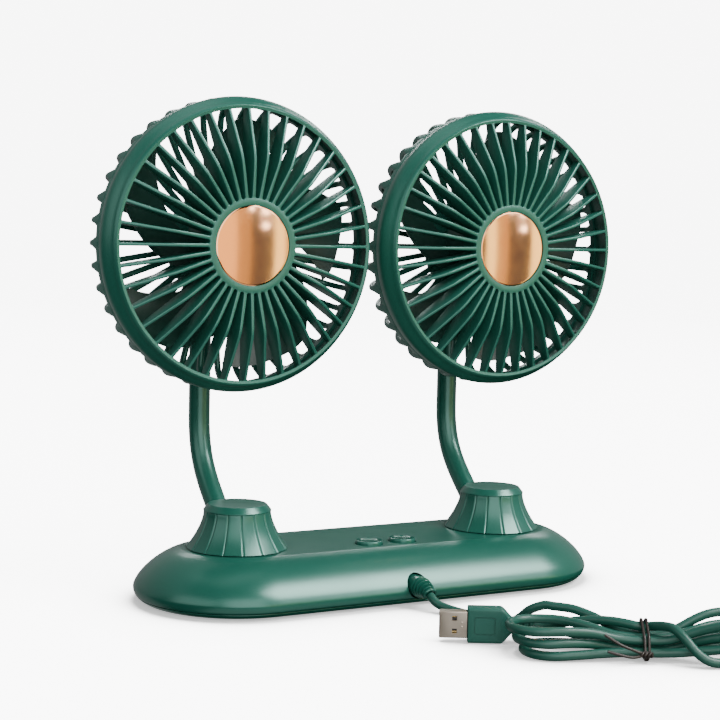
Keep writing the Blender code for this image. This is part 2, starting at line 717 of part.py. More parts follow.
def make_turret(side, swivel):
    """The fluted turret with its hollow stem and the slanting socket of the arm."""
    levels = [i / TURRET_LEVELS for i in range(TURRET_LEVELS + 1)]
    foot = TURRET_BOTTOM - BASE_HEIGHT
    loops = [fluted_loop(turret_radius(share), foot + share * TURRET_HEIGHT) for share in levels]
    turret = put(f"{side}_turret", loft_mesh("turret_flank", loops), "green_plastic", swivel)
    stem_bottom = -BASE_WALL - STEM_DROP
    groove_top = -BASE_WALL
    groove_bottom = groove_top - RETAINER_THICKNESS - 2 * FIT_GAP
    groove = STEM_RADIUS - STEM_GROOVE_DEPTH
    stem = [
        (STEM_RADIUS, stem_bottom),
        (STEM_RADIUS, groove_bottom),
        (groove, groove_bottom),
        (groove, groove_top),
        (STEM_RADIUS, groove_top),
        (STEM_RADIUS, foot + JOIN_OVERLAP),
    ]
    combine(turret, "UNION", turned("stem", stem, TURNED_SEGMENTS))
    bore = [(TURRET_BORE_RADIUS, z) for z in (stem_bottom - CUT_OVERRUN, TURRET_HEIGHT + CUT_OVERRUN)]
    combine(turret, "DIFFERENCE", turned("turret_bore", bore, TURNED_SEGMENTS))
    lean = Vector((0, math.cos(ARM_ROOT_ANGLE), math.sin(ARM_ROOT_ANGLE)))
    root = Vector((0, ARM_ROOT_BACK, ARM_ROOT_HEIGHT - BASE_HEIGHT))
    inside = ARM_ROOT_BACK - TURRET_BORE_RADIUS + CUT_OVERRUN
    ends = [root - lean * inside, root + lean * TURRET_BASE_RADIUS]
    socket = flat_circle(ARM_RADIUS + FIT_GAP, ARM_SEGMENTS)
    combine(turret, "DIFFERENCE", loft_mesh("arm_socket", upright_sections(ends, lambda i: socket)))


def make_turret_fittings(side, swivel):
    """The cap on the turret, and the retaining ring under the deck."""
    bottom = CAP_BOTTOM - BASE_HEIGHT
    spigot = TURRET_BORE_RADIUS - FIT_GAP
    cap = [
        (spigot, bottom - CAP_SPIGOT),
        (spigot, bottom),
        (TURRET_TOP_RADIUS, bottom),
        (TURRET_TOP_RADIUS, bottom + CAP_EDGE),
        (CAP_TOP_RADIUS, bottom + CAP_HEIGHT),
    ]
    put(f"{side}_turret_cap", turned("turret_cap", cap, TURNED_SEGMENTS), "green_plastic", swivel)
    inner = STEM_RADIUS - STEM_GROOVE_DEPTH + FIT_GAP
    top = -BASE_WALL - FIT_GAP
    low = top - RETAINER_THICKNESS
    ring = [(inner, low), (RETAINER_RADIUS, low), (RETAINER_RADIUS, top), (inner, top)]
    mesh = turned("swivel_retainer", ring, SMALL_SEGMENTS, ring=True)
    put(f"{side}_swivel_retainer", mesh, "steel", swivel)


def make_arm(side, swivel):
    """A bent tube with a flattened neck and an eye at its top."""
    drop = Vector((0, 0, BASE_HEIGHT))
    path = [point - drop for point in arm_path()]
    outer = flat_circle(ARM_RADIUS, ARM_SEGMENTS)
    tube_mesh = loft_mesh("arm_tube", upright_sections(path, lambda i: outer))
    arm = put(f"{side}_arm", tube_mesh, "green_plastic", swivel)
    eye_height = HEAD_AXIS_HEIGHT - BASE_HEIGHT
    half = EYE_WIDTH / 2
    neck_half = EYE_NECK_DEPTH / 2
    shoulder = eye_height - ARM_SHOULDER_DROP
    low = (-half, ARM_BACKSET - neck_half, shoulder - JOIN_OVERLAP)
    high = (half, ARM_BACKSET + neck_half, eye_height)
    combine(arm, "UNION", boxes("eye_neck", [(low, high)]))
    centre = Vector((0, ARM_BACKSET, eye_height))
    ring = flat_circle(EYE_RADIUS, EYE_SEGMENTS)
    eye = [[centre + Vector((x, a, b)) for a, b in ring] for x in (-half, half)]
    combine(arm, "UNION", loft_mesh("eye", eye))
    reach = half + CUT_OVERRUN
    pin = flat_circle(TILT_SCREW_RADIUS + FIT_GAP, POST_SEGMENTS)
    hole = [[centre + Vector((x, a, b)) for a, b in pin] for x in (-reach, reach)]
    combine(arm, "DIFFERENCE", loft_mesh("eye_hole", hole))
    lean = (path[1] - path[0]).normalized()
    bore_path = [path[0] - lean * CUT_OVERRUN] + path[1:-1] + [path[-1] - Vector((0, 0, ARM_RADIUS))]
    bore = flat_circle(ARM_BORE_RADIUS, HOLE_SEGMENTS)
    combine(arm, "DIFFERENCE", loft_mesh("arm_bore", upright_sections(bore_path, lambda i: bore)))


# Heads; their meshes have Z running back from the crown of the hub disc


def cage_row(bm, radius, depth, width=0.0):
    """One ring of corners as a (before, after) pair for each rib, the same corner where width is 0."""
    half = math.asin(width / 2 / radius)
    row = []
    for i in range(RIBS):
        middle = math.tau * i / RIBS
        turns = (-half, half) if width else (0.0,)
        corners = [
            bm.verts.new((radius * math.cos(middle + turn), radius * math.sin(middle + turn), depth))
            for turn in turns
        ]
        row.append((corners[0], corners[-1]))
    return row


def cage_face(bm, corners):
    """A face from corners in order, some of which may repeat."""
    once = [corner for k, corner in enumerate(corners) if corner is not corners[k - 1]]
    if len(once) > 2:
        bm.faces.new(once)


def cage_band(bm, low, high, open_at_ribs=False):
    """The faces between two rings, left out at the ribs where those grow from the band."""
    for i in range(RIBS):
        j = (i + 1) % RIBS
        if not open_at_ribs:
            cage_face(bm, (low[i][0], low[i][1], high[i][1], high[i][0]))
        cage_face(bm, (low[i][1], low[j][0], high[j][0], high[i][1]))


def cage_mesh(name, rim, rim_edge, hub, hub_edge, rib, width, closed_hub):
    """One closed skin: a turned rim and hub joined by ribs.

    rim is a closed profile of (radius, depth) pairs, and hub is one too, or else an open
    profile that is capped at both ends. The ribs grow from the band that follows the rim's
    and the hub's named edge. rib lists the pairs of points between the two bands.
    """
    bm = bmesh.new()
    grown = []
    for profile, edge, closed in ((hub, hub_edge, closed_hub), (rim, rim_edge, True)):
        rib_rows = (edge, (edge + 1) % len(profile))
        rows = [cage_row(bm, *point, width if k in rib_rows else 0.0) for k, point in enumerate(profile)]
        last = len(rows) if closed else len(rows) - 1
        for k in range(last):
            cage_band(bm, rows[k], rows[(k + 1) % len(rows)], open_at_ribs=k == edge)
        if not closed:
            for row in (rows[0], rows[-1]):
                cage_face(bm, [corner for pair in row for corner in pair])
        grown.append([rows[k] for k in rib_rows])
    stations = [grown[0]] + [[cage_row(bm, *point, width) for point in pair] for pair in rib] + [grown[1]]
    for near, far in zip(stations, stations[1:]):
        for i in range(RIBS):
            near_loop = (*near[0][i], *near[1][i][::-1])
            far_loop = (*far[0][i], *far[1][i][::-1])
            for a in range(4):
                b = (a + 1) % 4
                bm.faces.new((near_loop[a], near_loop[b], far_loop[b], far_loop[a]))
    return finish_mesh(bm, name)


def make_front_grille(side, tilt):
    """The flared rim, the hub with its skirt, and the ribs between them.

    The ribs are thin fins with one flat back. Their fronts bulge at a bend and fall back to the rim.
    """
    back_inner = RIM_BACK_RADIUS - RIM_WALL
    rim = [
        (RIM_INNER_RADIUS, RIM_LIP_DEPTH),
        (RIM_LIP_RADIUS, RIM_LIP_DEPTH - RIM_LIP_ROUND),
        (RIM_RADIUS - RIM_SHOULDER_INSET, RIM_LIP_DEPTH + RIM_SHOULDER_SETBACK),
        (RIM_RADIUS, RIM_WIDEST_DEPTH),
        (RIM_BACK_RADIUS, RIM_BACK_DEPTH),
        (back_inner, RIM_BACK_DEPTH),
        (back_inner - RIM_DRAFT, FRONT_RIB_BACK_DEPTH),
    ]
    crest = HUB_RADIUS - HUB_CREST_INSET
    skirt_inner = HUB_RADIUS - HUB_WALL
    hub = [
        (skirt_inner, DISC_SEAT_DEPTH + HUB_WALL),
        (skirt_inner, FRONT_RIB_BACK_DEPTH),
        (HUB_RADIUS, FRONT_RIB_BACK_DEPTH),
        (HUB_RADIUS, HUB_CREST),
        (crest, -HUB_CREST),
        (DISC_RADIUS + FIT_GAP, DISC_SEAT_DEPTH),
    ]
    rib = [[(RIB_BEND_RADIUS, FRONT_RIB_BACK_DEPTH), (RIB_BEND_RADIUS, -RIB_BULGE)]]
    mesh = cage_mesh("front_grille", rim, len(rim) - 1, hub, 2, rib, FRONT_RIB_WIDTH, closed_hub=False)
    put_on_head(f"{side}_front_grille", mesh, "green_plastic", tilt)


def rear_rib_corner(before, corner, after):
    """The outer and inner (radius, depth) points of a rear rib where its centre line turns."""
    first = (Vector(corner) - Vector(before)).normalized()
    second = (Vector(after) - Vector(corner)).normalized()
    way = (first + second).normalized()
    across = Vector((way.y, -way.x)) * (REAR_RIB_DEPTH / 2 / way.dot(first))
    return [tuple(Vector(corner) + across), tuple(Vector(corner) - across)]


def make_rear_grille(side, tilt):
    """The rear ring, the bent ribs that stand round it, and the plate that carries the motor housing."""
    inner = RIM_BACK_RADIUS - REAR_RIB_DEPTH
    rim = [
        (RIM_BACK_RADIUS, REAR_RING_FRONT),
        (RIM_BACK_RADIUS, REAR_RING_BACK),
        (inner, REAR_RING_BACK),
        (inner, REAR_RING_FRONT),
    ]
    plate_hole = HOUSING_RADIUS + FIT_GAP
    hub = [
        (plate_hole, PLATE_BACK_DEPTH),
        (PLATE_RADIUS, PLATE_BACK_DEPTH),
        (PLATE_RADIUS, PLATE_DEPTH),
        (plate_hole, PLATE_DEPTH),
    ]
    ring = (REAR_CORNER_RADIUS, REAR_RING_BACK)
    corner = (REAR_CORNER_RADIUS, REAR_CORNER_DEPTH)
    shoulder = (REAR_SHOULDER_RADIUS, REAR_SHOULDER_DEPTH)
    plate = (PLATE_RADIUS, (PLATE_DEPTH + PLATE_BACK_DEPTH) / 2)
    rib = [rear_rib_corner(corner, shoulder, plate), rear_rib_corner(ring, corner, shoulder)]
    mesh = cage_mesh("rear_grille", rim, 1, hub, 1, rib, REAR_RIB_WIDTH, closed_hub=True)
    grille = put_on_head(f"{side}_rear_grille", mesh, "green_plastic", tilt)
    ends = (PLATE_DEPTH - CUT_OVERRUN, PLATE_BACK_DEPTH + CUT_OVERRUN)
    screw_hole = [(HOUSING_SCREW_RADIUS + FIT_GAP, z) for z in ends]
    combine(grille, "DIFFERENCE", rods("plate_holes", housing_screw_centres(), screw_hole, HOLE_SEGMENTS))


def put_on_head(name, mesh, finish, parent, ahead=TILT_DEPTH, centre=(0, 0)):
    """Place a head piece so that its Z runs back along +Y, its crown ahead of the parent.

    centre is the piece's own axis in the mesh's X and Y, which point right and down.
    """
    place = (centre[0], -ahead, -centre[1])
    return put(name, mesh, finish, parent, location=place, rotation=(-math.pi / 2, 0, 0))


def housing_screw_centres():
    """The screws that hold the motor housing to the grille's plate, the first one on top."""
    middle = (HOUSING_RADIUS + PLATE_RADIUS) / 2
    angles = [math.tau * i / HOUSING_SCREWS - math.pi / 2 for i in range(HOUSING_SCREWS)]
    return [(middle * math.cos(angle), middle * math.sin(angle)) for angle in angles]


def make_hub_disc(side, tilt):
    """The domed metal disc in the hub."""
    profile = [(DISC_RADIUS, DISC_THICKNESS)]
    for i in range(DISC_RINGS):
        share = 1 - i / DISC_RINGS
        profile.append((DISC_RADIUS * share, DISC_CROWN * share * share))
    mesh = turned("hub_disc", profile, DISC_SEGMENTS)
    put_on_head(f"{side}_hub_disc", mesh, "copper", tilt)


def lug_loop(x):
    """Outline of a lug at that x: a straight root in the housing and a round end about the tilt axis."""
    root = HOUSING_BACK_DEPTH - HOUSING_FLANGE_THICKNESS
    points = [(x, EYE_RADIUS, root)]
    for i in range(LUG_SEGMENTS + 1):
        angle = math.pi * i / LUG_SEGMENTS
        points.append((x, EYE_RADIUS * math.cos(angle), TILT_DEPTH + EYE_RADIUS * math.sin(angle)))
    points.append((x, -EYE_RADIUS, root))
    return points


def make_motor_housing(side, tilt):
    """The cup round the motor's back, its flange, and two lugs that straddle the arm's eye."""
    flange_back = HOUSING_FLANGE_DEPTH + HOUSING_FLANGE_THICKNESS
    pocket = MOTOR_RADIUS + FIT_GAP
    seat = MOTOR_BACK_DEPTH + FIT_GAP
    profile = [
        (pocket, seat),
        (pocket, HOUSING_FRONT_DEPTH),
        (HOUSING_RADIUS, HOUSING_FRONT_DEPTH),
        (HOUSING_RADIUS, HOUSING_FLANGE_DEPTH),
        (HOUSING_FLANGE_RADIUS, HOUSING_FLANGE_DEPTH),
        (HOUSING_FLANGE_RADIUS, flange_back),
        (HOUSING_RADIUS, flange_back),
        (HOUSING_BACK_RADIUS, HOUSING_BACK_DEPTH),
    ]
    mesh = turned("motor_housing", profile, TURNED_SEGMENTS)
    housing = put_on_head(f"{side}_motor_housing", mesh, "green_plastic", tilt)
    bm = bmesh.new()
    for sign in (-1, 1):
        loft(bm, [lug_loop(sign * LUG_INNER), lug_loop(sign * LUG_OUTER)])
    combine(housing, "UNION", finish_mesh(bm, "lugs"))
    reach = LUG_OUTER + CUT_OVERRUN
    pin = flat_circle(TILT_SCREW_RADIUS + FIT_GAP, POST_SEGMENTS)
    hole = [[(x, a, TILT_DEPTH + b) for a, b in pin] for x in (-reach, reach)]
    combine(housing, "DIFFERENCE", loft_mesh("lug_holes", hole))
    ends = (HOUSING_FLANGE_DEPTH - CUT_OVERRUN, flange_back + CUT_OVERRUN)
    screw_hole = [(HOUSING_SCREW_RADIUS + FIT_GAP, z) for z in ends]
    combine(housing, "DIFFERENCE", rods("flange_holes", housing_screw_centres(), screw_hole, HOLE_SEGMENTS))


def make_head_fasteners(side, tilt):
    """Housing screws, and the screw on which the head tilts."""
    head_front = HOUSING_FLANGE_DEPTH + HOUSING_FLANGE_THICKNESS + FIT_GAP
    screw = [
        (HOUSING_SCREW_RADIUS, head_front - HOUSING_SCREW_LENGTH),
        (HOUSING_SCREW_RADIUS, head_front),
        (HOUSING_SCREW_HEAD_RADIUS, head_front),
        (HOUSING_SCREW_HEAD_RADIUS, head_front + HOUSING_SCREW_HEAD_HEIGHT),
    ]
    mesh = turned("housing_screw", screw, HOLE_SEGMENTS)
    for i, (x, depth) in enumerate(housing_screw_centres()):
        put_on_head(f"{side}_housing_screw_{i + 1}", mesh, "steel", tilt, centre=(x, depth))
    seat = LUG_OUTER + FIT_GAP
    profile = [
        (TILT_SCREW_RADIUS, -LUG_OUTER),
        (TILT_SCREW_RADIUS, seat),
        (TILT_SCREW_HEAD_RADIUS, seat),
        (TILT_SCREW_HEAD_RADIUS, seat + TILT_SCREW_HEAD_HEIGHT),
    ]
    mesh = turned("tilt_screw", profile, POST_SEGMENTS)
    put(f"{side}_tilt_screw", mesh, "steel", tilt, rotation=(0, math.pi / 2, 0))


def make_motor(side, tilt):
    """The motor can with a bore for its shaft."""
    bore = SHAFT_RADIUS + FIT_GAP
    profile = [
        (bore, MOTOR_FRONT_DEPTH),
        (MOTOR_RADIUS, MOTOR_FRONT_DEPTH),
        (MOTOR_RADIUS, MOTOR_BACK_DEPTH),
        (bore, MOTOR_BACK_DEPTH),
    ]
    put_on_head(f"{side}_motor", turned("motor", profile, SMALL_SEGMENTS, ring=True), "steel", tilt)


def blade_point(span, chord, face):
    """A point of a blade; span and chord run from 0 to 1, face is -1 or 1."""
    across = 2 * chord - 1
    root = CUP_RADIUS - CUP_WALL / 2
    radius = root + (BLADE_TIP_RADIUS - root) * span - BLADE_TIP_ROUND * span * across**4
    sweep = BLADE_ROOT_SWEEP + (BLADE_TIP_SWEEP - BLADE_ROOT_SWEEP) * span
    angle = BLADE_LEAN * span + sweep * across
    middle = (BLADE_FRONT_DEPTH + BLADE_BACK_DEPTH) / 2
    pitch = (BLADE_BACK_DEPTH - BLADE_FRONT_DEPTH - BLADE_THICKNESS) / 2
    depth = middle + pitch * across + BLADE_CAMBER * (1 - across * across)
    return radius, angle, depth + face * BLADE_THICKNESS / 2


def make_impeller(side, spin):
    """A cup-shaped hub with wide pitched blades; its boss holds the motor shaft."""
    bore = SHAFT_RADIUS + FIT_GAP
    inner = CUP_RADIUS - CUP_WALL
    front_inside = CUP_FRONT_DEPTH + CUP_WALL
    boss_back = front_inside + CUP_BOSS_LENGTH
    profile = [
        (bore, front_inside),
        (bore, boss_back),
        (CUP_BOSS_RADIUS, boss_back),
        (CUP_BOSS_RADIUS, front_inside),
        (inner, front_inside),
        (inner, CUP_BACK_DEPTH),
        (CUP_RADIUS, CUP_BACK_DEPTH),
        (CUP_RADIUS, CUP_FRONT_DEPTH + CUP_ROUND),
        (CUP_RADIUS - CUP_ROUND, CUP_FRONT_DEPTH),
    ]
    mesh = turned("impeller_cup", profile, SMALL_SEGMENTS)
    impeller = put_on_head(f"{side}_impeller", mesh, "dark_plastic", spin, 0)
    bm = bmesh.new()
    for k in range(BLADES):
        turn = -BLADE_PHASE + math.tau * k / BLADES
        loops = []
        for i in range(BLADE_SPAN_STEPS + 1):
            span = i / BLADE_SPAN_STEPS
            chords = [j / BLADE_CHORD_STEPS for j in range(BLADE_CHORD_STEPS + 1)]
            rim = [(chord, -1) for chord in chords] + [(chord, 1) for chord in reversed(chords)]
            loop = []
            for chord, face in rim:
                radius, angle, depth = blade_point(span, chord, face)
                loop.append((radius * math.cos(turn + angle), radius * math.sin(turn + angle), depth))
            loops.append(loop)
        loft(bm, loops)
    combine(impeller, "UNION", finish_mesh(bm, "blades"))
    shaft_front = front_inside + FIT_GAP
    shaft = [(SHAFT_RADIUS, shaft_front), (SHAFT_RADIUS, shaft_front + SHAFT_LENGTH)]
    put_on_head(f"{side}_motor_shaft", turned("motor_shaft", shaft, POST_SEGMENTS), "steel", spin, 0)


def make_side(side, sign):
    """One turret, arm and head, on the empties of its three joints."""
    swivel = axis_empty(f"{side}_swivel_axis", (sign * HALF_SPACING, 0, BASE_HEIGHT))
    tilt = axis_empty(f"{side}_tilt_axis", (0, ARM_BACKSET, HEAD_AXIS_HEIGHT - BASE_HEIGHT), swivel)
    spin = axis_empty(f"{side}_spin_axis", (0, -TILT_DEPTH, 0), tilt)
    make_turret(side, swivel)
    make_turret_fittings(side, swivel)
    make_arm(side, swivel)
    make_front_grille(side, tilt)
    make_rear_grille(side, tilt)
    make_hub_disc(side, tilt)
    make_motor_housing(side, tilt)
    make_head_fasteners(side, tilt)
    make_motor(side, tilt)
    make_impeller(side, spin)


# Cord, hank and plug


def relief_profile():
    """(length along the relief, radius) pairs of its root, grooves and shrinking rings."""
    root = RELIEF_ROOT_FRONT - RELIEF_ROOT_BACK
    profile = [(0, RELIEF_ROOT_RADIUS), (root, RELIEF_ROOT_RADIUS)]
    length = root
    for i in range(RELIEF_RINGS):
        ring = RELIEF_RING_RADIUS + (RELIEF_END_RADIUS - RELIEF_RING_RADIUS) * i / (RELIEF_RINGS - 1)
        groove = ring - RELIEF_GROOVE_DEPTH
        profile.append((length + RELIEF_RAMP, groove))
        profile.append((length + RELIEF_RAMP + RELIEF_GROOVE_LENGTH, groove))
        length += 2 * RELIEF_RAMP + RELIEF_GROOVE_LENGTH
        profile.append((length, ring))
        length += RELIEF_RING_LENGTH
        profile.append((length, ring))
    return profile


def relief_point(length):
    """A point on the relief's centre line, which droops past its root, and its heading."""
    root = RELIEF_ROOT_FRONT - RELIEF_ROOT_BACK
    total = relief_profile()[-1][0]
    free = max(length - root, 0)
    bend_radius = (total - root) / RELIEF_DROOP
    turn = free / bend_radius
    y = -RELIEF_ROOT_BACK - min(length, root) - bend_radius * math.sin(turn)
    z = GLAND_HEIGHT - bend_radius * (1 - math.cos(turn))
    return Vector((0, y, z)), Vector((0, -math.cos(turn), -math.sin(turn)))


def make_strain_relief():
    """The ribbed sleeve through the front flank."""
    loops = []
    for length, radius in relief_profile():
        centre, heading = relief_point(length)
        normal = Vector((1, 0, 0)).cross(heading)
        section = flat_circle(radius, RELIEF_SEGMENTS)
        loops.append([centre + Vector((1, 0, 0)) * a + normal * b for a, b in section])
    put("cord_strain_relief", loft_mesh("cord_strain_relief", loops), "cord")


def hank_place(u, v, z):
    """Hank coordinates as a point in the fan's frame."""
    along = Vector((math.cos(HANK_TURN), math.sin(HANK_TURN), 0))
    across = Vector((-math.sin(HANK_TURN), math.cos(HANK_TURN), 0))
    return Vector((HANK_CENTRE_X, HANK_CENTRE_Y, z)) + along * u + across * v


def ease(share):
    """A smooth step from 0 to 1."""
    share = min(max(share, 0.0), 1.0)
    return share * share * (3 - 2 * share)


def strand_point(u, row, index):
    """A strand of a run; index counts up from the lowest strand of its row.

    The strands are stacked at the folds. Towards the tie each turns about the one below it,
    which draws the stack in to a low bundle. The front row climbs one layer right of the tie,
    where the strand from the plug slips under it.
    """
    spread = ease((abs(u) - HANK_WAIST_HALF_LENGTH) / (HANK_RUN_END - HANK_WAIST_HALF_LENGTH))
    climb = HANK_STEP if row == FRONT_ROW and u > 0 else 0
    side = HANK_WAIST_HALF_WIDTH + (HANK_FOLD_RADIUS - HANK_WAIST_HALF_WIDTH) * spread
    height = CORD_RADIUS + HANK_LIFT * (1 - spread) + climb * spread
    for tie_angle in TIE_ANGLES[row][:index]:
        angle = math.radians(tie_angle + (90 - tie_angle) * spread)
        side -= HANK_STEP * math.cos(angle)
        height += HANK_STEP * math.sin(angle)
    return u, row * side, height


def run_points(start, end, row, index):
    """The points of one strand from fold to fold."""
    steps = [i / HANK_RUN_STEPS for i in range(HANK_RUN_STEPS + 1)]
    return [strand_point(start + (end - start) * step, row, index) for step in steps]


def fold_start(sign, layer):
    """Where the runs of a layer end; the folds of neighbouring layers are staggered."""
    shift = layer - 1 if sign < 0 else (layer % 2) - 1 / 2
    return sign * (HANK_RUN_END + HANK_STAGGER * shift)


def fold_points(sign, layer):
    """The level half turn at the end of a layer, from the row it leaves to the other row."""
    start = fold_start(sign, layer)
    points = []
    for i in range(1, HANK_FOLD_STEPS):
        angle = math.pi * i / HANK_FOLD_STEPS
        along = start + sign * HANK_FOLD_RADIUS * math.sin(angle)
        across = -sign * HANK_FOLD_RADIUS * math.cos(angle)
        points.append((along, across, CORD_RADIUS + HANK_STEP * layer))
    return points


def in_metres(points):
    """Hand-chosen points in millimetres as points in metres."""
    return [tuple(value * MM for value in point) for point in points]


def hank_route():
    """The hank's points, from the plug, through every loop, to where the lead begins."""
    route = [(-TAIL_END, TAIL_OFFSET, PLUG_HEIGHT), (-TAIL_END + 2 * CORD_RADIUS, TAIL_OFFSET, PLUG_HEIGHT)]
    route += in_metres(STRAND_BEHIND_TIE + STRAND_UNDER_TIE + STRAND_BEFORE_TIE)
    route.append((fold_start(1, 0), -HANK_FOLD_RADIUS, CORD_RADIUS))
    top_layer = len(TIE_ANGLES[BACK_ROW])
    for layer in range(top_layer + 1):
        right = fold_start(1, layer)
        if layer > 0:
            route += run_points(fold_start(-1, layer - 1), right, FRONT_ROW, layer - 1)
        route += fold_points(1, layer)
        if layer < top_layer:
            route += run_points(right, fold_start(-1, layer), BACK_ROW, layer)
            route += fold_points(-1, layer)
        else:
            route += run_points(right, 0, BACK_ROW, layer)
    route += in_metres(STRAND_TO_LEAD)
    return [hank_place(*point) for point in route]


def lead_route():
    """Hand-chosen points of the lead, from the strain relief to the end of the hank."""
    centre, heading = relief_point(relief_profile()[-1][0])
    start = centre + heading * FIT_GAP
    first = start + heading * 2 * CORD_RADIUS
    before, end = hank_route()[-2:]
    outward = (end - before).normalized()
    finish = end + outward * FIT_GAP
    last = finish + outward * 2 * CORD_RADIUS
    floor = [Vector(point) for point in in_metres(LEAD_ON_FLOOR)]
    by_hank = [hank_place(*point) for point in in_metres(LEAD_BY_HANK)]
    return [start, first] + floor[::-1] + by_hank[::-1] + [last, finish]


def smooth_points(route, spacing):
    """Points along a Catmull-Rom curve through the route, about one spacing apart."""
    route = [np.array(point) for point in route]
    padded = [2 * route[0] - route[1]] + route + [2 * route[-1] - route[-2]]
    points = [route[0]]
    for a, b, c, d in zip(padded, padded[1:], padded[2:], padded[3:]):
        steps = max(1, round(float(np.linalg.norm(c - b)) / spacing))
        for i in range(1, steps + 1):
            t = i / steps
            square = (2 * a - 5 * b + 4 * c - d) * t**2
            cube = (3 * b - a - 3 * c + d) * t**3
            points.append((2 * b + (c - a) * t + square + cube) / 2)
    return points


def tube(name, points, resolution):
    """A cord as a curve object with a round bevel and filled caps."""
    curve = bpy.data.curves.new(name, "CURVE")
    curve.dimensions = "3D"
    curve.bevel_depth = CORD_RADIUS
    curve.bevel_resolution = resolution
    curve.use_fill_caps = True
    spline = curve.splines.new("POLY")
    spline.points.add(len(points) - 1)
    for target, point in zip(spline.points, points):
        target.co = (*point, 1.0)
    made = bpy.data.objects.new(name, curve)
    bpy.context.scene.collection.objects.link(made)
    curve.materials.append(material("cord"))
    return made


def least_gap(points):
    """The least gap of a tube to itself, measured between stretches over four radii apart along it."""
    fine = []
    for a, b in zip(points, points[1:]):
        a, b = np.array(a), np.array(b)
        steps = max(1, int(np.linalg.norm(b - a) / CORD_RADIUS))
        fine += [a + (b - a) * i / steps for i in range(steps)]
    fine = np.array(fine + [np.array(points[-1])])
    lengths = np.concatenate([[0], np.cumsum(np.linalg.norm(np.diff(fine, axis=0), axis=1))])
    apart = np.linalg.norm(fine[:, None] - fine[None], axis=2)
    near = np.abs(lengths[:, None] - lengths[None]) < math.pi * 2 * CORD_RADIUS
    apart[near] = np.inf
    return float(apart.min()) - 2 * CORD_RADIUS


def make_cord():
    """The lead and the hank, two tubes that meet face to face."""
    hank = hank_route()
    lead = smooth_points(lead_route(), CORD_POINT_SPACING)
    tube("cord_hank", hank, 1)
    tube("cord_lead", lead, 2)
    for label, points in (("hank", hank), ("lead", lead)):
        length = sum((Vector(b) - Vector(a)).length for a, b in zip(points, points[1:])) / MM
        gap = least_gap(points) / MM
        print(f"{label}: {length:.0f} mm in {len(points)} points, least gap to itself {gap:.2f} mm")


def make_tie():
    """A band drawn tight round the hank's waist, with its two twisted ends."""
    strands = [strand_point(0, row, i)[1:] for row in TIE_ANGLES for i in range(len(TIE_ANGLES[row]) + 1)]
    strands.append(in_metres(STRAND_UNDER_TIE)[0][1:])
    loops = []
    for u, grow in ((-1, 0), (1, 0), (1, 1), (-1, 1)):
        reach = CORD_RADIUS + FIT_GAP + grow * TIE_THICKNESS
        outline = []
        for a, b in flat_circle(1, TIE_SEGMENTS):
            v, z = max(strands, key=lambda strand: strand[0] * a + strand[1] * b)
            outline.append(hank_place(u * TIE_WIDTH / 2, v + reach * a, z + reach * b))
        loops.append(outline)
    tie = put("cord_tie", loft_mesh("cord_tie", loops, ring=True), "tie")
    knot_v = -HANK_WAIST_HALF_WIDTH - CORD_RADIUS - FIT_GAP - TIE_THICKNESS / 2
    knot_z = CORD_RADIUS + HANK_LIFT
    for label, lift in (("upper", 1), ("lower", -1)):
        knot_u = lift * TIE_TAIL_RADIUS
        rise = (1 + lift) * HANK_STEP / 2
        start = hank_place(knot_u, knot_v, knot_z)
        end = hank_place(knot_u - TIE_TAIL_LENGTH, knot_v - HANK_STEP, knot_z + rise)
        heading = (end - start).normalized()
        side = heading.cross(Vector((0, 0, 1))).normalized()
        other = side.cross(heading)
        section = flat_circle(TIE_TAIL_RADIUS, HOLE_SEGMENTS)
        loops = [[point + side * a + other * b for a, b in section] for point in (start, end)]
        combine(tie, "UNION", loft_mesh(f"tie_{label}_end", loops))


def plug_sections():
    """(length, half width, half thickness, corner) along the plug from its cord end."""
    groove_step = PLUG_SLEEVE_LENGTH / (2 * PLUG_SLEEVE_RINGS)
    sections = []
    for i in range(2 * PLUG_SLEEVE_RINGS):
        radius = PLUG_SLEEVE_RADIUS - (PLUG_SLEEVE_GROOVE if i % 2 else 0)
        for length in (i * groove_step, (i + 1) * groove_step - RELIEF_RAMP):
            sections.append((length, radius, radius, radius))
    neck = PLUG_SLEEVE_RADIUS
    sections.append((PLUG_SLEEVE_LENGTH, neck, neck, neck))
    for share in (1 / 3, 2 / 3, 1):
        swell = ease(share)
        half_width = neck + (PLUG_WIDTH / 2 - neck) * swell
        half_thickness = neck + (PLUG_THICKNESS / 2 - neck) * swell
        corner = neck + (PLUG_CORNER - neck) * swell
        sections.append((PLUG_SLEEVE_LENGTH + PLUG_TAPER_LENGTH * share, half_width, half_thickness, corner))
    sections.append((PLUG_BODY_LENGTH, PLUG_WIDTH / 2, PLUG_THICKNESS / 2, PLUG_CORNER))
    return sections


def plug_loop(length, half_width, half_thickness, corner):
    """A rounded rectangle square to the plug, its width upright."""
    return [(-length, a, b) for a, b in rounded_rectangle(half_thickness, half_width, corner)]


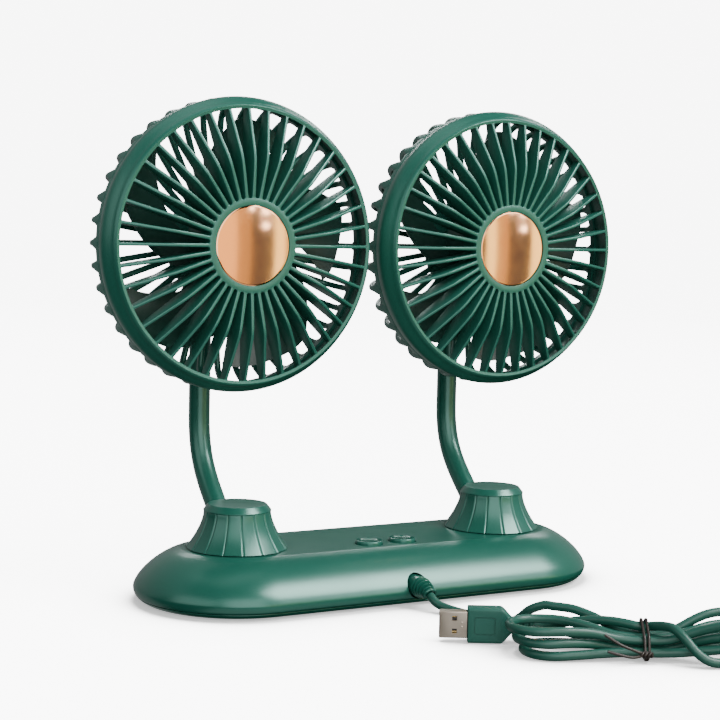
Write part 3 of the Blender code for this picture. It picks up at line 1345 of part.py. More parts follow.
def make_plug():
    """Overmoulded body, metal shell and contact tongue, standing on the body's narrow edge."""
    cord_end = hank_place(-TAIL_END - FIT_GAP, TAIL_OFFSET, PLUG_HEIGHT)
    place = {"location": cord_end, "rotation": (0, 0, HANK_TURN)}
    body = loft_mesh("usb_plug_body", [plug_loop(*section) for section in plug_sections()])
    put("usb_plug_body", body, "cord", **place)
    back = PLUG_BODY_LENGTH + FIT_GAP
    tip = back + SHELL_LENGTH
    outer = (SHELL_WIDTH / 2, SHELL_THICKNESS / 2, SHELL_CORNER)
    inner = tuple(size - SHELL_WALL for size in outer)
    ends = ((back, inner), (back, outer), (tip, outer), (tip, inner))
    loops = [plug_loop(length, *size) for length, size in ends]
    shell = put("usb_plug_shell", loft_mesh("usb_plug_shell", loops, ring=True), "nickel", **place)
    windows = []
    half = SHELL_WINDOW / 2
    reach = SHELL_THICKNESS / 2 + CUT_OVERRUN
    for side in (-1, 1):
        z = side * SHELL_WINDOW_SPACING / 2
        x = -tip + SHELL_WINDOW_FROM_TIP
        windows.append(((x - half, -reach, z - half), (x + half, reach, z + half)))
    combine(shell, "DIFFERENCE", boxes("shell_windows", windows))
    room = SHELL_THICKNESS / 2 - SHELL_WALL - FIT_GAP
    half_width = SHELL_WIDTH / 2 - SHELL_WALL - FIT_GAP
    low = (-tip + TONGUE_RECESS, room - TONGUE_THICKNESS, -half_width)
    high = (-back, room, half_width)
    put("usb_contact_tongue", boxes("usb_contact_tongue", [(low, high)]), "tongue", **place)


def main():
    """Build every piece."""
    clear_scene()
    make_top_shell()
    make_bottom_cover()
    make_base_small_parts()
    make_buttons()
    for side, sign in SIDES:
        make_side(side, sign)
    make_strain_relief()
    make_cord()
    make_tie()
    make_plug()


main()
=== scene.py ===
"""Looks of a double-head desk fan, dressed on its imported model.

Sizes are in millimetres until a mesh or a light is made. X runs along the base, the heads look along -Y.
"""

from math import copysign, cos, exp, pi, radians, sin, sqrt, tan, tau

import bmesh
import bpy
from mathutils import Matrix, Vector


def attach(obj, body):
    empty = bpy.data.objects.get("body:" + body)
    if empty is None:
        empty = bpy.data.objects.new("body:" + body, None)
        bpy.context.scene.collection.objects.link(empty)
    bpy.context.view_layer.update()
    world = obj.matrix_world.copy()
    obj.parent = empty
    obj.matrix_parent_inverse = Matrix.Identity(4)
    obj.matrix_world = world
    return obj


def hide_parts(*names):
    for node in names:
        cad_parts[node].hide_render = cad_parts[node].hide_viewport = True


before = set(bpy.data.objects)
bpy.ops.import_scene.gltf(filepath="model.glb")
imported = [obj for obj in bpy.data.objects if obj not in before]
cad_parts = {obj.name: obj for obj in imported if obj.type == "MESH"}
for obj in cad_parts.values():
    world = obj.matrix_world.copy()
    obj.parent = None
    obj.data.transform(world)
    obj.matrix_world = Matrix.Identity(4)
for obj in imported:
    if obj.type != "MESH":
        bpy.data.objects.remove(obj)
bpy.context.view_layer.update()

# Driving sizes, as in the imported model
MM = 0.001
HALF_SPACING = 72.5
SIDES = (("left", -HALF_SPACING), ("right", HALF_SPACING))
FIT_GAP = 0.3
BASE_HEIGHT = 25.0
HEAD_HEIGHT = 168.7
HEAD_FORWARD = 13.3
ARM_BACKSET = 46.0
TILT_DEPTH = HEAD_FORWARD + ARM_BACKSET

# Camera
LENS = 84.601
SENSOR = 36.0
CAMERA_PLACE = Vector((-413.6, -722.0, 181.2))
CAMERA_RIGHT = Vector((0.87213, -0.48881, 0.02132))
CAMERA_UP = Vector((0.02149, 0.08180, 0.99642))


def linked(name, data):
    """A new object of the scene."""
    made = bpy.data.objects.new(name, data)
    bpy.context.scene.collection.objects.link(made)
    return made


def make_camera():
    """The photograph's view, solved from the fan's own outline."""
    data = bpy.data.cameras.new("camera")
    data.lens = LENS
    data.sensor_width = SENSOR
    data.clip_end = 20.0
    made = linked("camera", data)
    turn = Matrix((CAMERA_RIGHT, CAMERA_UP, CAMERA_RIGHT.cross(CAMERA_UP))).transposed()
    made.matrix_world = Matrix.Translation(CAMERA_PLACE * MM) @ turn.to_4x4()
    bpy.context.scene.camera = made


make_camera()


# Materials

WHITE = (1.0, 1.0, 1.0)
GREEN_SHEEN = (0.60, 1.0, 0.88)
MOTTLE = 0.03
WEAR = 0.012
SMUDGE_SHADE = 0.94


def new_material(name):
    """A new node material with its node tree and shader."""
    made = bpy.data.materials.new(name)
    made.use_nodes = True
    return made, made.node_tree, made.node_tree.nodes["Principled BSDF"]


def set_inputs(node, values):
    """Give a node's inputs their values, and link those that come from another node."""
    for name, value in values.items():
        if isinstance(value, bpy.types.NodeSocket):
            node.id_data.links.new(value, node.inputs[name])
        else:
            node.inputs[name].default_value = value


def add_node(tree, kind, values):
    """A new node with those inputs."""
    made = tree.nodes.new(kind)
    set_inputs(made, values)
    return made


def noise(tree, scale, detail=2.0):
    """A noise in the piece's own space, with features about 1/scale of a metre across."""
    place = tree.nodes.new("ShaderNodeTexCoord").outputs["Object"]
    values = {"Scale": scale, "Detail": detail, "Vector": place}
    return add_node(tree, "ShaderNodeTexNoise", values).outputs["Fac"]


def spread(tree, source, low, high, start=0.3, stop=0.7):
    """A source's range from start to stop mapped to a range of values."""
    values = {"From Min": start, "From Max": stop, "To Min": low, "To Max": high, "Value": source}
    return add_node(tree, "ShaderNodeMapRange", values).outputs["Result"]


def blend(tree, factor, first, second):
    """Two colours mixed by a factor."""
    made = tree.nodes.new("ShaderNodeMix")
    made.data_type = "RGBA"
    set_inputs(made, {"A": (*first, 1.0), "B": (*second, 1.0), "Factor": factor})
    return made.outputs["Result"]


def grain_normal(tree, scale, strength, reach):
    """The normal of a fine grain; reach is its height in metres."""
    values = {"Strength": strength, "Distance": reach, "Height": noise(tree, scale, detail=3.0)}
    return add_node(tree, "ShaderNodeBump", values).outputs["Normal"]


def surface(name, colour, roughness, metallic=0.0, grain=3200.0, bump=0.012, gloss=0.5, sheen=WHITE):
    """A moulded or metal surface: faintly mottled colour, uneven gloss and a fine grain."""
    made, tree, shader = new_material(name)
    low = [c * (1 - MOTTLE) for c in colour]
    high = [min(c * (1 + MOTTLE), 1.0) for c in colour]
    uneven = noise(tree, scale=40.0, detail=1.0)
    values = {
        "Base Color": blend(tree, noise(tree, scale=60.0), low, high),
        "Roughness": spread(tree, uneven, roughness - WEAR, roughness + WEAR),
        "Normal": grain_normal(tree, grain, bump, reach=0.0002),
        "Metallic": metallic,
        "Specular IOR Level": gloss,
        "Specular Tint": (*sheen, 1.0),
    }
    set_inputs(shader, values)
    return made


def polished_disc(name, colour):
    """Polished metal with faint smudges."""
    made, tree, shader = new_material(name)
    smudge = noise(tree, scale=90.0, detail=4.0)
    values = {
        "Base Color": blend(tree, smudge, [c * SMUDGE_SHADE for c in colour], colour),
        "Roughness": spread(tree, smudge, low=0.07, high=0.10),
        "Normal": grain_normal(tree, scale=2500.0, strength=0.012, reach=0.0001),
        "Metallic": 1.0,
    }
    set_inputs(shader, values)
    return made


MATERIALS = {
    "green": surface("green_plastic_satin", (0.0065, 0.075, 0.053), 0.29, gloss=0.9, sheen=GREEN_SHEEN),
    "green_cage": surface("green_cage_satin", (0.010, 0.088, 0.063), 0.35, gloss=0.9, sheen=GREEN_SHEEN),
    "green_gloss": surface("green_plastic_gloss", (0.007, 0.075, 0.053), 0.20, gloss=0.9, sheen=GREEN_SHEEN),
    "rotor": surface("dark_green_rotor", (0.016, 0.066, 0.050), 0.36, gloss=1.0),
    "cord": surface("green_cord_jacket", (0.007, 0.074, 0.052), 0.42, gloss=0.5, grain=2200.0, bump=0.05),
    "plug": surface("green_plug_overmould", (0.010, 0.085, 0.062), 0.50, gloss=0.35, grain=2600.0, bump=0.08),
    "copper": polished_disc("copper_disc_polished", (1.0, 0.50, 0.25)),
    "nickel": surface("nickel_plated_steel", (0.50, 0.44, 0.36), 0.34, 1.0, grain=3000.0, bump=0.04),
    "steel": surface("zinc_plated_steel", (0.62, 0.62, 0.62), 0.34, 1.0, bump=0.05),
    "tie": surface("twist_tie_jacket", (0.020, 0.014, 0.011), 0.35, bump=0.05),
    "silicone": surface("black_silicone", (0.022, 0.022, 0.022), 0.75, bump=0.15),
    "board": surface("solder_mask_green", (0.010, 0.120, 0.040), 0.35),
    "tongue": surface("dark_contact_block", (0.05, 0.045, 0.04), 0.5),
    "gold": surface("gilt_contacts", (0.90, 0.66, 0.28), 0.25, 1.0),
}


# Mesh helpers: a shape is a pair of vertex and face lists in millimetres

RIM_SEGMENTS = 240
HUB_SEGMENTS = 160
SMALL_SEGMENTS = 64
TUBE_SEGMENTS = 40


def shares(steps):
    """Even steps from 0 to 1, with both ends."""
    return [i / steps for i in range(steps + 1)]


def circle(radius, segments):
    """Points of a circle as (a, b) pairs."""
    turns = [tau * i / segments for i in range(segments)]
    return [(radius * cos(turn), radius * sin(turn)) for turn in turns]


def skin(loops, ring=False):
    """Quads between loops of equal count, closed as a ring or else capped."""
    count = len(loops[0])
    verts = [tuple(point) for loop in loops for point in loop]
    faces = []
    last = len(loops) if ring else len(loops) - 1
    for k in range(last):
        low, high = k * count, (k + 1) % len(loops) * count
        for i in range(count):
            j = (i + 1) % count
            faces.append((low + i, low + j, high + j, high + i))
    if not ring:
        faces.append(tuple(range(count))[::-1])
        faces.append(tuple(range((len(loops) - 1) * count, len(loops) * count)))
    return verts, faces


def revolve(outline, segments=96, ring=False, centre=(0.0, 0.0)):
    """A turned shape about Z from (radius, height) pairs."""
    loops = []
    for radius, height in outline:
        points = circle(max(radius, 0.001), segments)
        loops.append([(centre[0] + x, centre[1] + y, height) for x, y in points])
    return skin(loops, ring)


def sweep(path, section, side=Vector((1, 0, 0))):
    """Carry a section along a path; section(i) gives (a, b) pairs along side and normal."""
    path = [Vector(point) for point in path]
    loops = []
    for i, point in enumerate(path):
        ahead = (path[min(i + 1, len(path) - 1)] - path[max(i - 1, 0)]).normalized()
        across = (side - ahead * side.dot(ahead)).normalized()
        normal = ahead.cross(across)
        loops.append([tuple(point + across * a + normal * b) for a, b in section(i)])
    return skin(loops)


def joined(shapes):
    """Several shapes as one."""
    verts, faces = [], []
    for more_verts, more_faces in shapes:
        start = len(verts)
        verts += more_verts
        faces += [tuple(start + i for i in face) for face in more_faces]
    return verts, faces


def mapped(shape, function):
    """A shape whose vertices are moved by a function."""
    verts, faces = shape
    return [tuple(function(Vector(vert))) for vert in verts], faces


def shifted(shape, x=0.0, y=0.0):
    """A shape moved along X and Y."""
    return mapped(shape, lambda p: (p[0] + x, p[1] + y, p[2]))


def spline(points, steps):
    """Catmull-Rom points through the given ones."""
    points = [Vector(p) for p in points]
    padded = [2 * points[0] - points[1]] + points + [2 * points[-1] - points[-2]]
    made = [points[0]]
    for a, b, c, d in zip(padded, padded[1:], padded[2:], padded[3:]):
        for t in shares(steps)[1:]:
            square = (2 * a - 5 * b + 4 * c - d) * t**2
            cube = (3 * b - a - 3 * c + d) * t**3
            made.append((2 * b + (c - a) * t + square + cube) / 2)
    return made


def smooth_path(points, steps=5):
    """A smooth path through (radius, depth) pairs."""
    return [(p[0], p[1]) for p in spline([(*q, 0.0) for q in points], steps)]


def rounded(corners, steps=4):
    """A (radius, height) outline from (radius, height, rounding) corners."""
    points = [Vector((r, z, 0)) for r, z, _ in corners]
    made = [points[0]]
    for i in range(1, len(points) - 1):
        before, after = points[i - 1] - points[i], points[i + 1] - points[i]
        rounding = corners[i][2]
        if rounding == 0:
            made.append(points[i])
            continue
        reach = min(rounding / tan(before.angle(after) / 2), before.length * 0.49, after.length * 0.49)
        start = points[i] + before.normalized() * reach
        end = points[i] + after.normalized() * reach
        made += [start * (1 - t) ** 2 + points[i] * (2 * t * (1 - t)) + end * t**2 for t in shares(steps)]
    made.append(points[-1])
    return [(p[0], p[1]) for p in made]


def to_mesh(name, shape):
    """A mesh in metres whose faces point out and whose round sides are smooth."""
    verts, faces = shape
    mesh = bpy.data.meshes.new(name)
    mesh.from_pydata([tuple(c * MM for c in vert) for vert in verts], [], faces)
    bm = bmesh.new()
    bm.from_mesh(mesh)
    bmesh.ops.recalc_face_normals(bm, faces=bm.faces)
    bm.to_mesh(mesh)
    bm.free()
    mesh.shade_smooth()
    return mesh


def piece(name, shape, finish, body, replaced=(), angle=40.0):
    """A shown object that rides on a body and may stand for CAD nodes."""
    mesh = to_mesh(name, shape)
    mesh.set_sharp_from_angle(angle=radians(angle))
    made = linked(name, mesh)
    mesh.materials.append(MATERIALS[finish])
    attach(made, body)
    if replaced:
        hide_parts(*replaced)
    return made


def cut(target, shape, name):
    """Cut a shape out of a piece."""
    tool = linked(name, to_mesh(name, shape))
    modifier = target.modifiers.new(name, "BOOLEAN")
    modifier.operation = "DIFFERENCE"
    modifier.solver = "EXACT"
    modifier.object = tool
    graph = bpy.context.evaluated_depsgraph_get()
    made = bpy.data.meshes.new_from_object(target.evaluated_get(graph))
    target.modifiers.clear()
    old = target.data
    target.data = made
    made.name = target.name
    bpy.data.meshes.remove(old)
    bpy.data.objects.remove(tool)
    made.set_sharp_from_angle(angle=radians(32))


# Cord: the route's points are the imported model's own

CORD_RADIUS = 2.0
HANK_CENTRE = (39.0, -168.0)
HANK_TURN = radians(-30)
RUN_END = 42.0
RUN_STEPS = 8
FOLD_RADIUS = 12.0
FOLD_STEPS = 5
STEP = 5.1
WAIST = 5.0
WAIST_HALF = STEP * 1.5
STAGGER = 3.0
LIFT = 1.4
TIE_ANGLES = {-1: (0, 120), 1: (0, 60, 180)}
TAIL_OFFSET = 18.0
TAIL_END = 45.0
PLUG_HEIGHT = 7.8
LEVEL_LENGTH = 4.0
BEHIND_TIE = [(-35, 17.3, 9.0), (-28, 15.2, 10.7), (-20, 10.6, 12.5), (-13, 6.6, 13.2), (-7, 4.0, 12.9)]
UNDER_TIE = [(-2.5, 2.55, 12.3), (2.5, 2.55, 12.3)]
BEFORE_TIE = [(7, -2.6, 13.7), (11, -7.8, 14.0), (15, -12.9, 11.0), (20, -16.4, 5.6), (26, -17.2, 2.4)]
BEFORE_TIE += [(34, -15.4, 2)]
TO_LEAD = [(-3, 5.1, 7.8), (-8, 8.0, 8.6), (-14, 12.8, 10.6), (-20, 16.8, 12.8), (-27, 20.6, 14.6)]
TO_LEAD += [(-32, 22.7, 15.0), (-36, 24.4, 15.0)]
LEAD_BY_HANK = [(-46, 28.4, 12.2), (-51, 33.0, 6.8)]
LEAD_ON_FLOOR = [(9.4, -104.0, 2.2), (9.0, -94.0, 2), (8.6, -84.0, 2), (6.6, -74.6, 2), (2.0, -66.6, 3.4)]
LEAD_GAP = FIT_GAP
STRAIGHT_END = 4.3
RELIEF_DROOP = radians(28)
RELIEF_BEND = 9.0
RELIEF_ROOT_RADIUS = 5.0
RELIEF_RINGS = 4
RELIEF_RING_RADIUS = 4.9
RELIEF_RING_SHRINK = 0.45
RELIEF_RING_PITCH = 1.85
COLLAR_RADIUS = 3.5

# Steps of length and radius along a ring of the relief, and at both ends of its collar
RELIEF_RING = [(0.05, -1.2), (1.0, -1.2), (1.05, -0.15), (1.2, 0.0), (1.65, -0.05)]
COLLAR_START = [(0.1, -0.9), (0.4, -0.9), (0.6, 0.0)]
COLLAR_END = [(-0.3, 0.0), (0.0, -0.3)]

RELIEF_MOUTH = 0.8
GLAND_HEIGHT = 9.4
RELIEF_ROOT_Y = -42.0
RELIEF_FREE_Y = -50.3
RELIEF_ROOT = RELIEF_ROOT_Y - RELIEF_FREE_Y


def hank_place(u, v, z):
    """Hank coordinates as a point in the fan's frame."""
    c, s = cos(HANK_TURN), sin(HANK_TURN)
    return Vector((HANK_CENTRE[0] + u * c - v * s, HANK_CENTRE[1] + u * s + v * c, z))


def ease(share):
    """A smooth step from 0 to 1."""
    share = min(max(share, 0.0), 1.0)
    return share * share * (3 - 2 * share)


def strand_point(u, row, index):
    """A strand of a run; index counts up from the lowest strand of its row."""
    open_share = ease((abs(u) - WAIST) / (RUN_END - WAIST))
    climb = STEP if row < 0 and u > 0 else 0
    side = WAIST_HALF + (FOLD_RADIUS - WAIST_HALF) * open_share
    height = CORD_RADIUS + LIFT * (1 - open_share) + climb * open_share
    for tie_angle in TIE_ANGLES[row][:index]:
        angle = radians(tie_angle + (90 - tie_angle) * open_share)
        side -= STEP * cos(angle)
        height += STEP * sin(angle)
    return u, row * side, height


def run_points(start, end, row, index):
    """One strand from fold to fold."""
    return [strand_point(start + (end - start) * share, row, index) for share in shares(RUN_STEPS)]


def fold_start(sign, layer):
    """Where the runs of a layer end."""
    return sign * (RUN_END + STAGGER * (layer - 1 if sign < 0 else (layer % 2) - 0.5))


def fold_points(sign, layer):
    """The level half turn at the end of a layer."""
    start, height = fold_start(sign, layer), CORD_RADIUS + STEP * layer
    angles = [pi * share for share in shares(FOLD_STEPS)[1:-1]]
    reach = sign * FOLD_RADIUS
    return [(start + reach * sin(a), -reach * cos(a), height) for a in angles]


def hank_route():
    """From the plug, through every loop, to where the lead begins."""
    route = [(-TAIL_END, TAIL_OFFSET, PLUG_HEIGHT), (LEVEL_LENGTH - TAIL_END, TAIL_OFFSET, PLUG_HEIGHT)]
    route += BEHIND_TIE + UNDER_TIE + BEFORE_TIE + [(fold_start(1, 0), -FOLD_RADIUS, CORD_RADIUS)]
    for layer in range(4):
        start = fold_start(1, layer)
        if layer > 0:
            route += run_points(fold_start(-1, layer - 1), start, -1, layer - 1)
        route += fold_points(1, layer)
        if layer < 3:
            route += run_points(start, fold_start(-1, layer), 1, layer)
            route += fold_points(-1, layer)
        else:
            route += run_points(start, 0, 1, layer)
    return [hank_place(*p) for p in route + TO_LEAD]


def relief_outline():
    """(length, radius) pairs of the strain relief: root, shrinking rings and collar."""
    pairs = [(0.0, RELIEF_ROOT_RADIUS), (RELIEF_ROOT - 0.2, RELIEF_ROOT_RADIUS)]
    for i in range(RELIEF_RINGS):
        start = RELIEF_ROOT + RELIEF_RING_PITCH * i
        ring = RELIEF_RING_RADIUS - RELIEF_RING_SHRINK * i
        pairs += [(start + length, ring + rise) for length, rise in RELIEF_RING]
    start = RELIEF_ROOT + RELIEF_RING_PITCH * RELIEF_RINGS
    end = RELIEF_ROOT + RELIEF_BEND
    pairs += [(start + length, COLLAR_RADIUS + rise) for length, rise in COLLAR_START]
    pairs += [(end + length, COLLAR_RADIUS + rise) for length, rise in COLLAR_END]
    return pairs + [(end, CORD_RADIUS + RELIEF_MOUTH)]


def relief_place(length):
    """Centre and heading on the relief, which droops past its root."""
    bend = RELIEF_BEND / RELIEF_DROOP
    turned = max(length - RELIEF_ROOT, 0.0) / bend
    y = RELIEF_ROOT_Y - min(length, RELIEF_ROOT) - bend * sin(turned)
    z = GLAND_HEIGHT - bend * (1 - cos(turned))
    return Vector((0, y, z)), Vector((0, -cos(turned), -sin(turned)))


def make_cord():
    """The whole cord on one curve, from the strain relief to the plug."""
    end, heading = relief_place(RELIEF_ROOT + RELIEF_BEND)
    hank = hank_route()
    outward = (hank[-1] - hank[-2]).normalized()
    route = [end + heading * LEAD_GAP, end + heading * STRAIGHT_END]
    route += [Vector(p) for p in LEAD_ON_FLOOR[::-1]]
    route += [hank_place(*p) for p in LEAD_BY_HANK[::-1]]
    route += [hank[-1] + outward * STRAIGHT_END]
    points = spline(route + hank[::-1], 4)
    data = bpy.data.curves.new("cord", "CURVE")
    data.dimensions = "3D"
    data.bevel_depth = CORD_RADIUS * MM
    data.bevel_resolution = 6
    data.use_fill_caps = True
    line = data.splines.new("POLY")
    line.points.add(len(points) - 1)
    for target, point in zip(line.points, points):
        target.co = (*(point * MM), 1.0)
    line.use_smooth = True
    data.materials.append(MATERIALS["cord"])
    made = linked("cord", data)
    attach(made, "base")
    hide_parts("cord_lead", "cord_hank")
    return made, points


# Pieces on the cord

WIRE_RADIUS = 0.62
TIE_REACH = 2.95
TIE_SPACING = 0.7
TIE_LEAN = 0.5
TIE_ENDS = [
    [(-2.4, 0.0, 0.5), (-6.5, -1.2, 2.2), (-12.0, -2.0, 4.6), (-18.5, -2.4, 8.6)],
    [(-2.4, 0.0, -0.5), (-6.5, -1.2, -1.0), (-12.0, -2.0, 0.2), (-17.0, -2.4, 1.6)],
]
TWIST_RADIUS = 0.75
TWIST_START = 2.0
TWIST_LENGTH = 4.6
TWIST_TURNS = 1.5
KNOT_V = -WAIST_HALF - 4.2
KNOT_Z = 3.6
PLUG_HALF_WIDTH = 7.8
PLUG_HALF_DEPTH = 4.0
PLUG_CORNER = 1.5
PLUG_LENGTH = 28.5
SLEEVE_RADIUS = 3.2
SLEEVE_GROOVE_RADIUS = 2.45
SLEEVE_SLOTS = 3
SLEEVE_START = 0.25
SLEEVE_PITCH = 2.47
SHOULDER_START = 7.7
SHOULDER_LENGTH = 6.7
MARK_CENTRE = -21.2
MARK_DEPTH = 3.72
MARK_CLEAR = 5.0
SHELL_HALF_WIDTH = 6.0
SHELL_HALF_DEPTH = 2.25
SHELL_START = 28.8
SHELL_TIP = 40.8
SHELL_WALL = 0.4
WINDOW_HALF = 1.05
WINDOW_CENTRE = -34.2
WINDOW_OFFSET = 2.8
DIMPLE_CENTRE = -31.0
DIMPLE_OFFSET = 0.95
DIMPLE_RINGS = ((0.55, 2.2), (0.5, 2.3), (0.3, 2.37), (0.02, 2.39))
TONGUE_FACE = 1.55
TONGUE_THICKNESS = 1.9
CONTACTS = ((-3.5, 7.4), (-1.0, 6.4), (1.0, 6.4), (3.5, 7.4))


def wire_loop(turn, lean):
    """The tie's section over the outermost strand in that direction of the waist."""
    across, up = cos(turn), sin(turn)
    strands = [strand_point(0, row, i) for row in TIE_ANGLES for i in range(len(TIE_ANGLES[row]) + 1)]
    strands.append(UNDER_TIE[0])
    outermost = max(strands, key=lambda s: s[1] * across + s[2] * up)
    loop = []
    for a, b in circle(WIRE_RADIUS, 12):
        reach = TIE_REACH + b
        loop.append(tuple(hank_place(lean + a, outermost[1] + reach * across, outermost[2] + reach * up)))
    return loop


def make_tie():
    """Two turns of coated wire round the waist, a twist in front and two loose ends."""
    upright = Vector((0, 0, 1))
    wire = circle(WIRE_RADIUS, 12)
    shapes = []
    for offset in (-TIE_SPACING, TIE_SPACING):
        turns = [tau * share for share in shares(72)[:-1]]
        loops = [wire_loop(turn, offset * (1 + TIE_LEAN * sin(turn))) for turn in turns]
        shapes.append(skin(loops, ring=True))
    for phase in (0.0, pi):
        twist = []
        for share in shares(24):
            turn = phase + tau * TWIST_TURNS * share
            v, z = KNOT_V + TWIST_RADIUS * cos(turn), KNOT_Z + TWIST_RADIUS * sin(turn)
            twist.append(hank_place(TWIST_START - TWIST_LENGTH * share, v, z))
        shapes.append(sweep(twist, lambda i: wire, upright))
    for end in TIE_ENDS:
        path = spline([hank_place(u, KNOT_V + v, KNOT_Z + z) for u, v, z in end], 6)
        shapes.append(sweep(path, lambda i: wire, upright))
    return piece("tie_wire", joined(shapes), "tie", "base", ["cord_tie"], angle=60)


def rounded_box(half_width, half_height, corner, steps=6):
    """A rounded rectangle's points."""
    points = []
    for right, up, start in ((1, -1, -0.5), (1, 1, 0.0), (-1, 1, 0.5), (-1, -1, 1.0)):
        for share in shares(steps):
            turn = pi * (start + 0.5 * share)
            a = right * (half_width - corner) + corner * cos(turn)
            points.append((a, up * (half_height - corner) + corner * sin(turn)))
    return points


def on_plug(point):
    """Plug coordinates, with X towards the cord, as a point in the fan's frame."""
    return hank_place(-TAIL_END - FIT_GAP + point[0], TAIL_OFFSET + point[1], PLUG_HEIGHT + point[2])


def plug_loop(length, half_width, half_depth, corner):
    """A rounded section square to the plug, its width upright."""
    return [(-length, a, b) for a, b in rounded_box(half_depth, half_width, corner)]


def overmould_sections():
    """Length, half-width, half-depth and corner along the slotted sleeve and the body."""
    sleeve, groove = SLEEVE_RADIUS, SLEEVE_GROOVE_RADIUS
    rings = [(0.0, 2.5), (SLEEVE_START, 3.15)]
    for i in range(SLEEVE_SLOTS):
        start = SLEEVE_START + SLEEVE_PITCH * i
        rings += [(start + 1.35, sleeve), (start + 1.5, groove)]
        rings += [(start + 2.3, groove), (start + 2.45, sleeve)]
    sections = [(length, radius, radius, radius) for length, radius in rings]
    for share in shares(14):
        swell = ease(share)
        half_width = sleeve + (PLUG_HALF_WIDTH - sleeve) * swell**1.1
        half_depth = sleeve + (PLUG_HALF_DEPTH - sleeve) * swell
        corner = sleeve + (PLUG_CORNER - sleeve) * swell
        sections.append((SHOULDER_START + SHOULDER_LENGTH * share, half_width, half_depth, corner))
    for back, inset in ((0.5, 0.0), (0.15, 0.1), (0.0, 0.4)):
        half_width, half_depth = PLUG_HALF_WIDTH - inset, PLUG_HALF_DEPTH - inset
        sections.append((PLUG_LENGTH - back, half_width, half_depth, PLUG_CORNER - inset * 0.75))
    return sections


def make_overmould():
    """Plug body with a sunk rounded outline on both flat sides."""
    shape = mapped(skin([plug_loop(*section) for section in overmould_sections()]), on_plug)
    body = piece("plug_overmould", shape, "plug", "base", ["usb_plug_body"])
    outer, inner = rounded_box(4.6, 3.9, 1.0, 4), rounded_box(4.2, 3.5, 0.7, 4)
    for side in (-1, 1):
        rims = ((outer, MARK_CLEAR), (outer, MARK_DEPTH), (inner, MARK_DEPTH), (inner, MARK_CLEAR))
        loops = [[(MARK_CENTRE + a, side * y, b) for a, b in outline] for outline, y in rims]
        cut(body, mapped(skin(loops, ring=True), on_plug), "plug_outline")
    return body


def make_shell_tube():
    """Folded metal shell with two windows in each wide side."""
    wall = SHELL_WALL
    ends = [(SHELL_START, wall), (SHELL_START, 0.0), (SHELL_TIP - 0.35, 0.0), (SHELL_TIP, 0.12)]
    ends += [(SHELL_TIP, wall), (SHELL_TIP - 0.6, wall)]
    loops = []
    for length, inset in ends:
        loops.append(plug_loop(length, SHELL_HALF_WIDTH - inset, SHELL_HALF_DEPTH - inset, 0.7 - inset))
    shape = mapped(skin(loops, ring=True), on_plug)
    shell = piece("plug_shell", shape, "nickel", "base", ["usb_plug_shell"])
    outline = rounded_box(WINDOW_HALF, WINDOW_HALF, 0.2, 2)
    for z in (-WINDOW_OFFSET, WINDOW_OFFSET):
        box = skin([[(WINDOW_CENTRE + a, y, z + b) for a, b in outline] for y in (-4.0, 4.0)])
        cut(shell, mapped(box, on_plug), "shell_window")
    return shell


def make_dimples():
    """Two pressed points on each wide side of the shell."""
    dimples = []
    for side in (-1, 1):
        for z in (-DIMPLE_OFFSET, DIMPLE_OFFSET):
            loops = []
            for radius, y in DIMPLE_RINGS:
                loops.append([(DIMPLE_CENTRE + a, side * y, z + b) for a, b in circle(radius, 20)])
            dimples.append(skin(loops))
    return piece("shell_dimples", mapped(joined(dimples), on_plug), "nickel", "base")


def flat_box(x_span, y_span, z_span):
    """A box from its spans along X, Y and Z."""
    (left, right), (front, back), (low, high) = x_span, y_span, z_span
    corners = ((front, low), (back, low), (back, high), (front, high))
    return skin([[(x, y, z) for y, z in corners] for x in (left, right)])


def make_contacts():
    """Contact block and its four gilt strips."""
    back = TONGUE_FACE - TONGUE_THICKNESS
    block = flat_box((1.0 - SHELL_TIP, -SHELL_START), (back, TONGUE_FACE), (-5.3, 5.3))
    tongue = piece("plug_tongue", mapped(block, on_plug), "tongue", "base", ["usb_contact_tongue"])
    strips = []
    start = 1.6 - SHELL_TIP
    for z, length in CONTACTS:
        strips.append(flat_box((start, start + length), (back - 0.06, back + 0.1), (z - 0.5, z + 0.5)))
    strips = piece("plug_contacts", mapped(joined(strips), on_plug), "gold", "base", angle=20)
    return tongue, strips


def make_relief():
    """The ribbed sleeve through the front flank."""
    pairs = relief_outline()
    outline = []
    for (start, first), (end, second) in zip(pairs, pairs[1:]):
        steps = 5 if end - start > 1.0 else 1
        for i in range(steps):
            outline.append((start + (end - start) * i / steps, first + (second - first) * i / steps))
    outline += [pairs[-1], (pairs[-1][0] - RELIEF_MOUTH, CORD_RADIUS + RELIEF_MOUTH / 2)]
    across = Vector((1, 0, 0))
    loops = []
    for length, radius in outline:
        centre, heading = relief_place(length)
        upward = across.cross(heading)
        points = circle(radius, TUBE_SEGMENTS)
        loops.append([tuple(centre + across * a + upward * b) for a, b in points])
    piece("strain_relief", skin(loops), "green_gloss", "base", ["cord_strain_relief"])


cord, cord_points = make_cord()
on_cord = [make_tie(), make_overmould(), make_shell_tube(), make_dimples(), *make_contacts()]
make_relief()


# Base

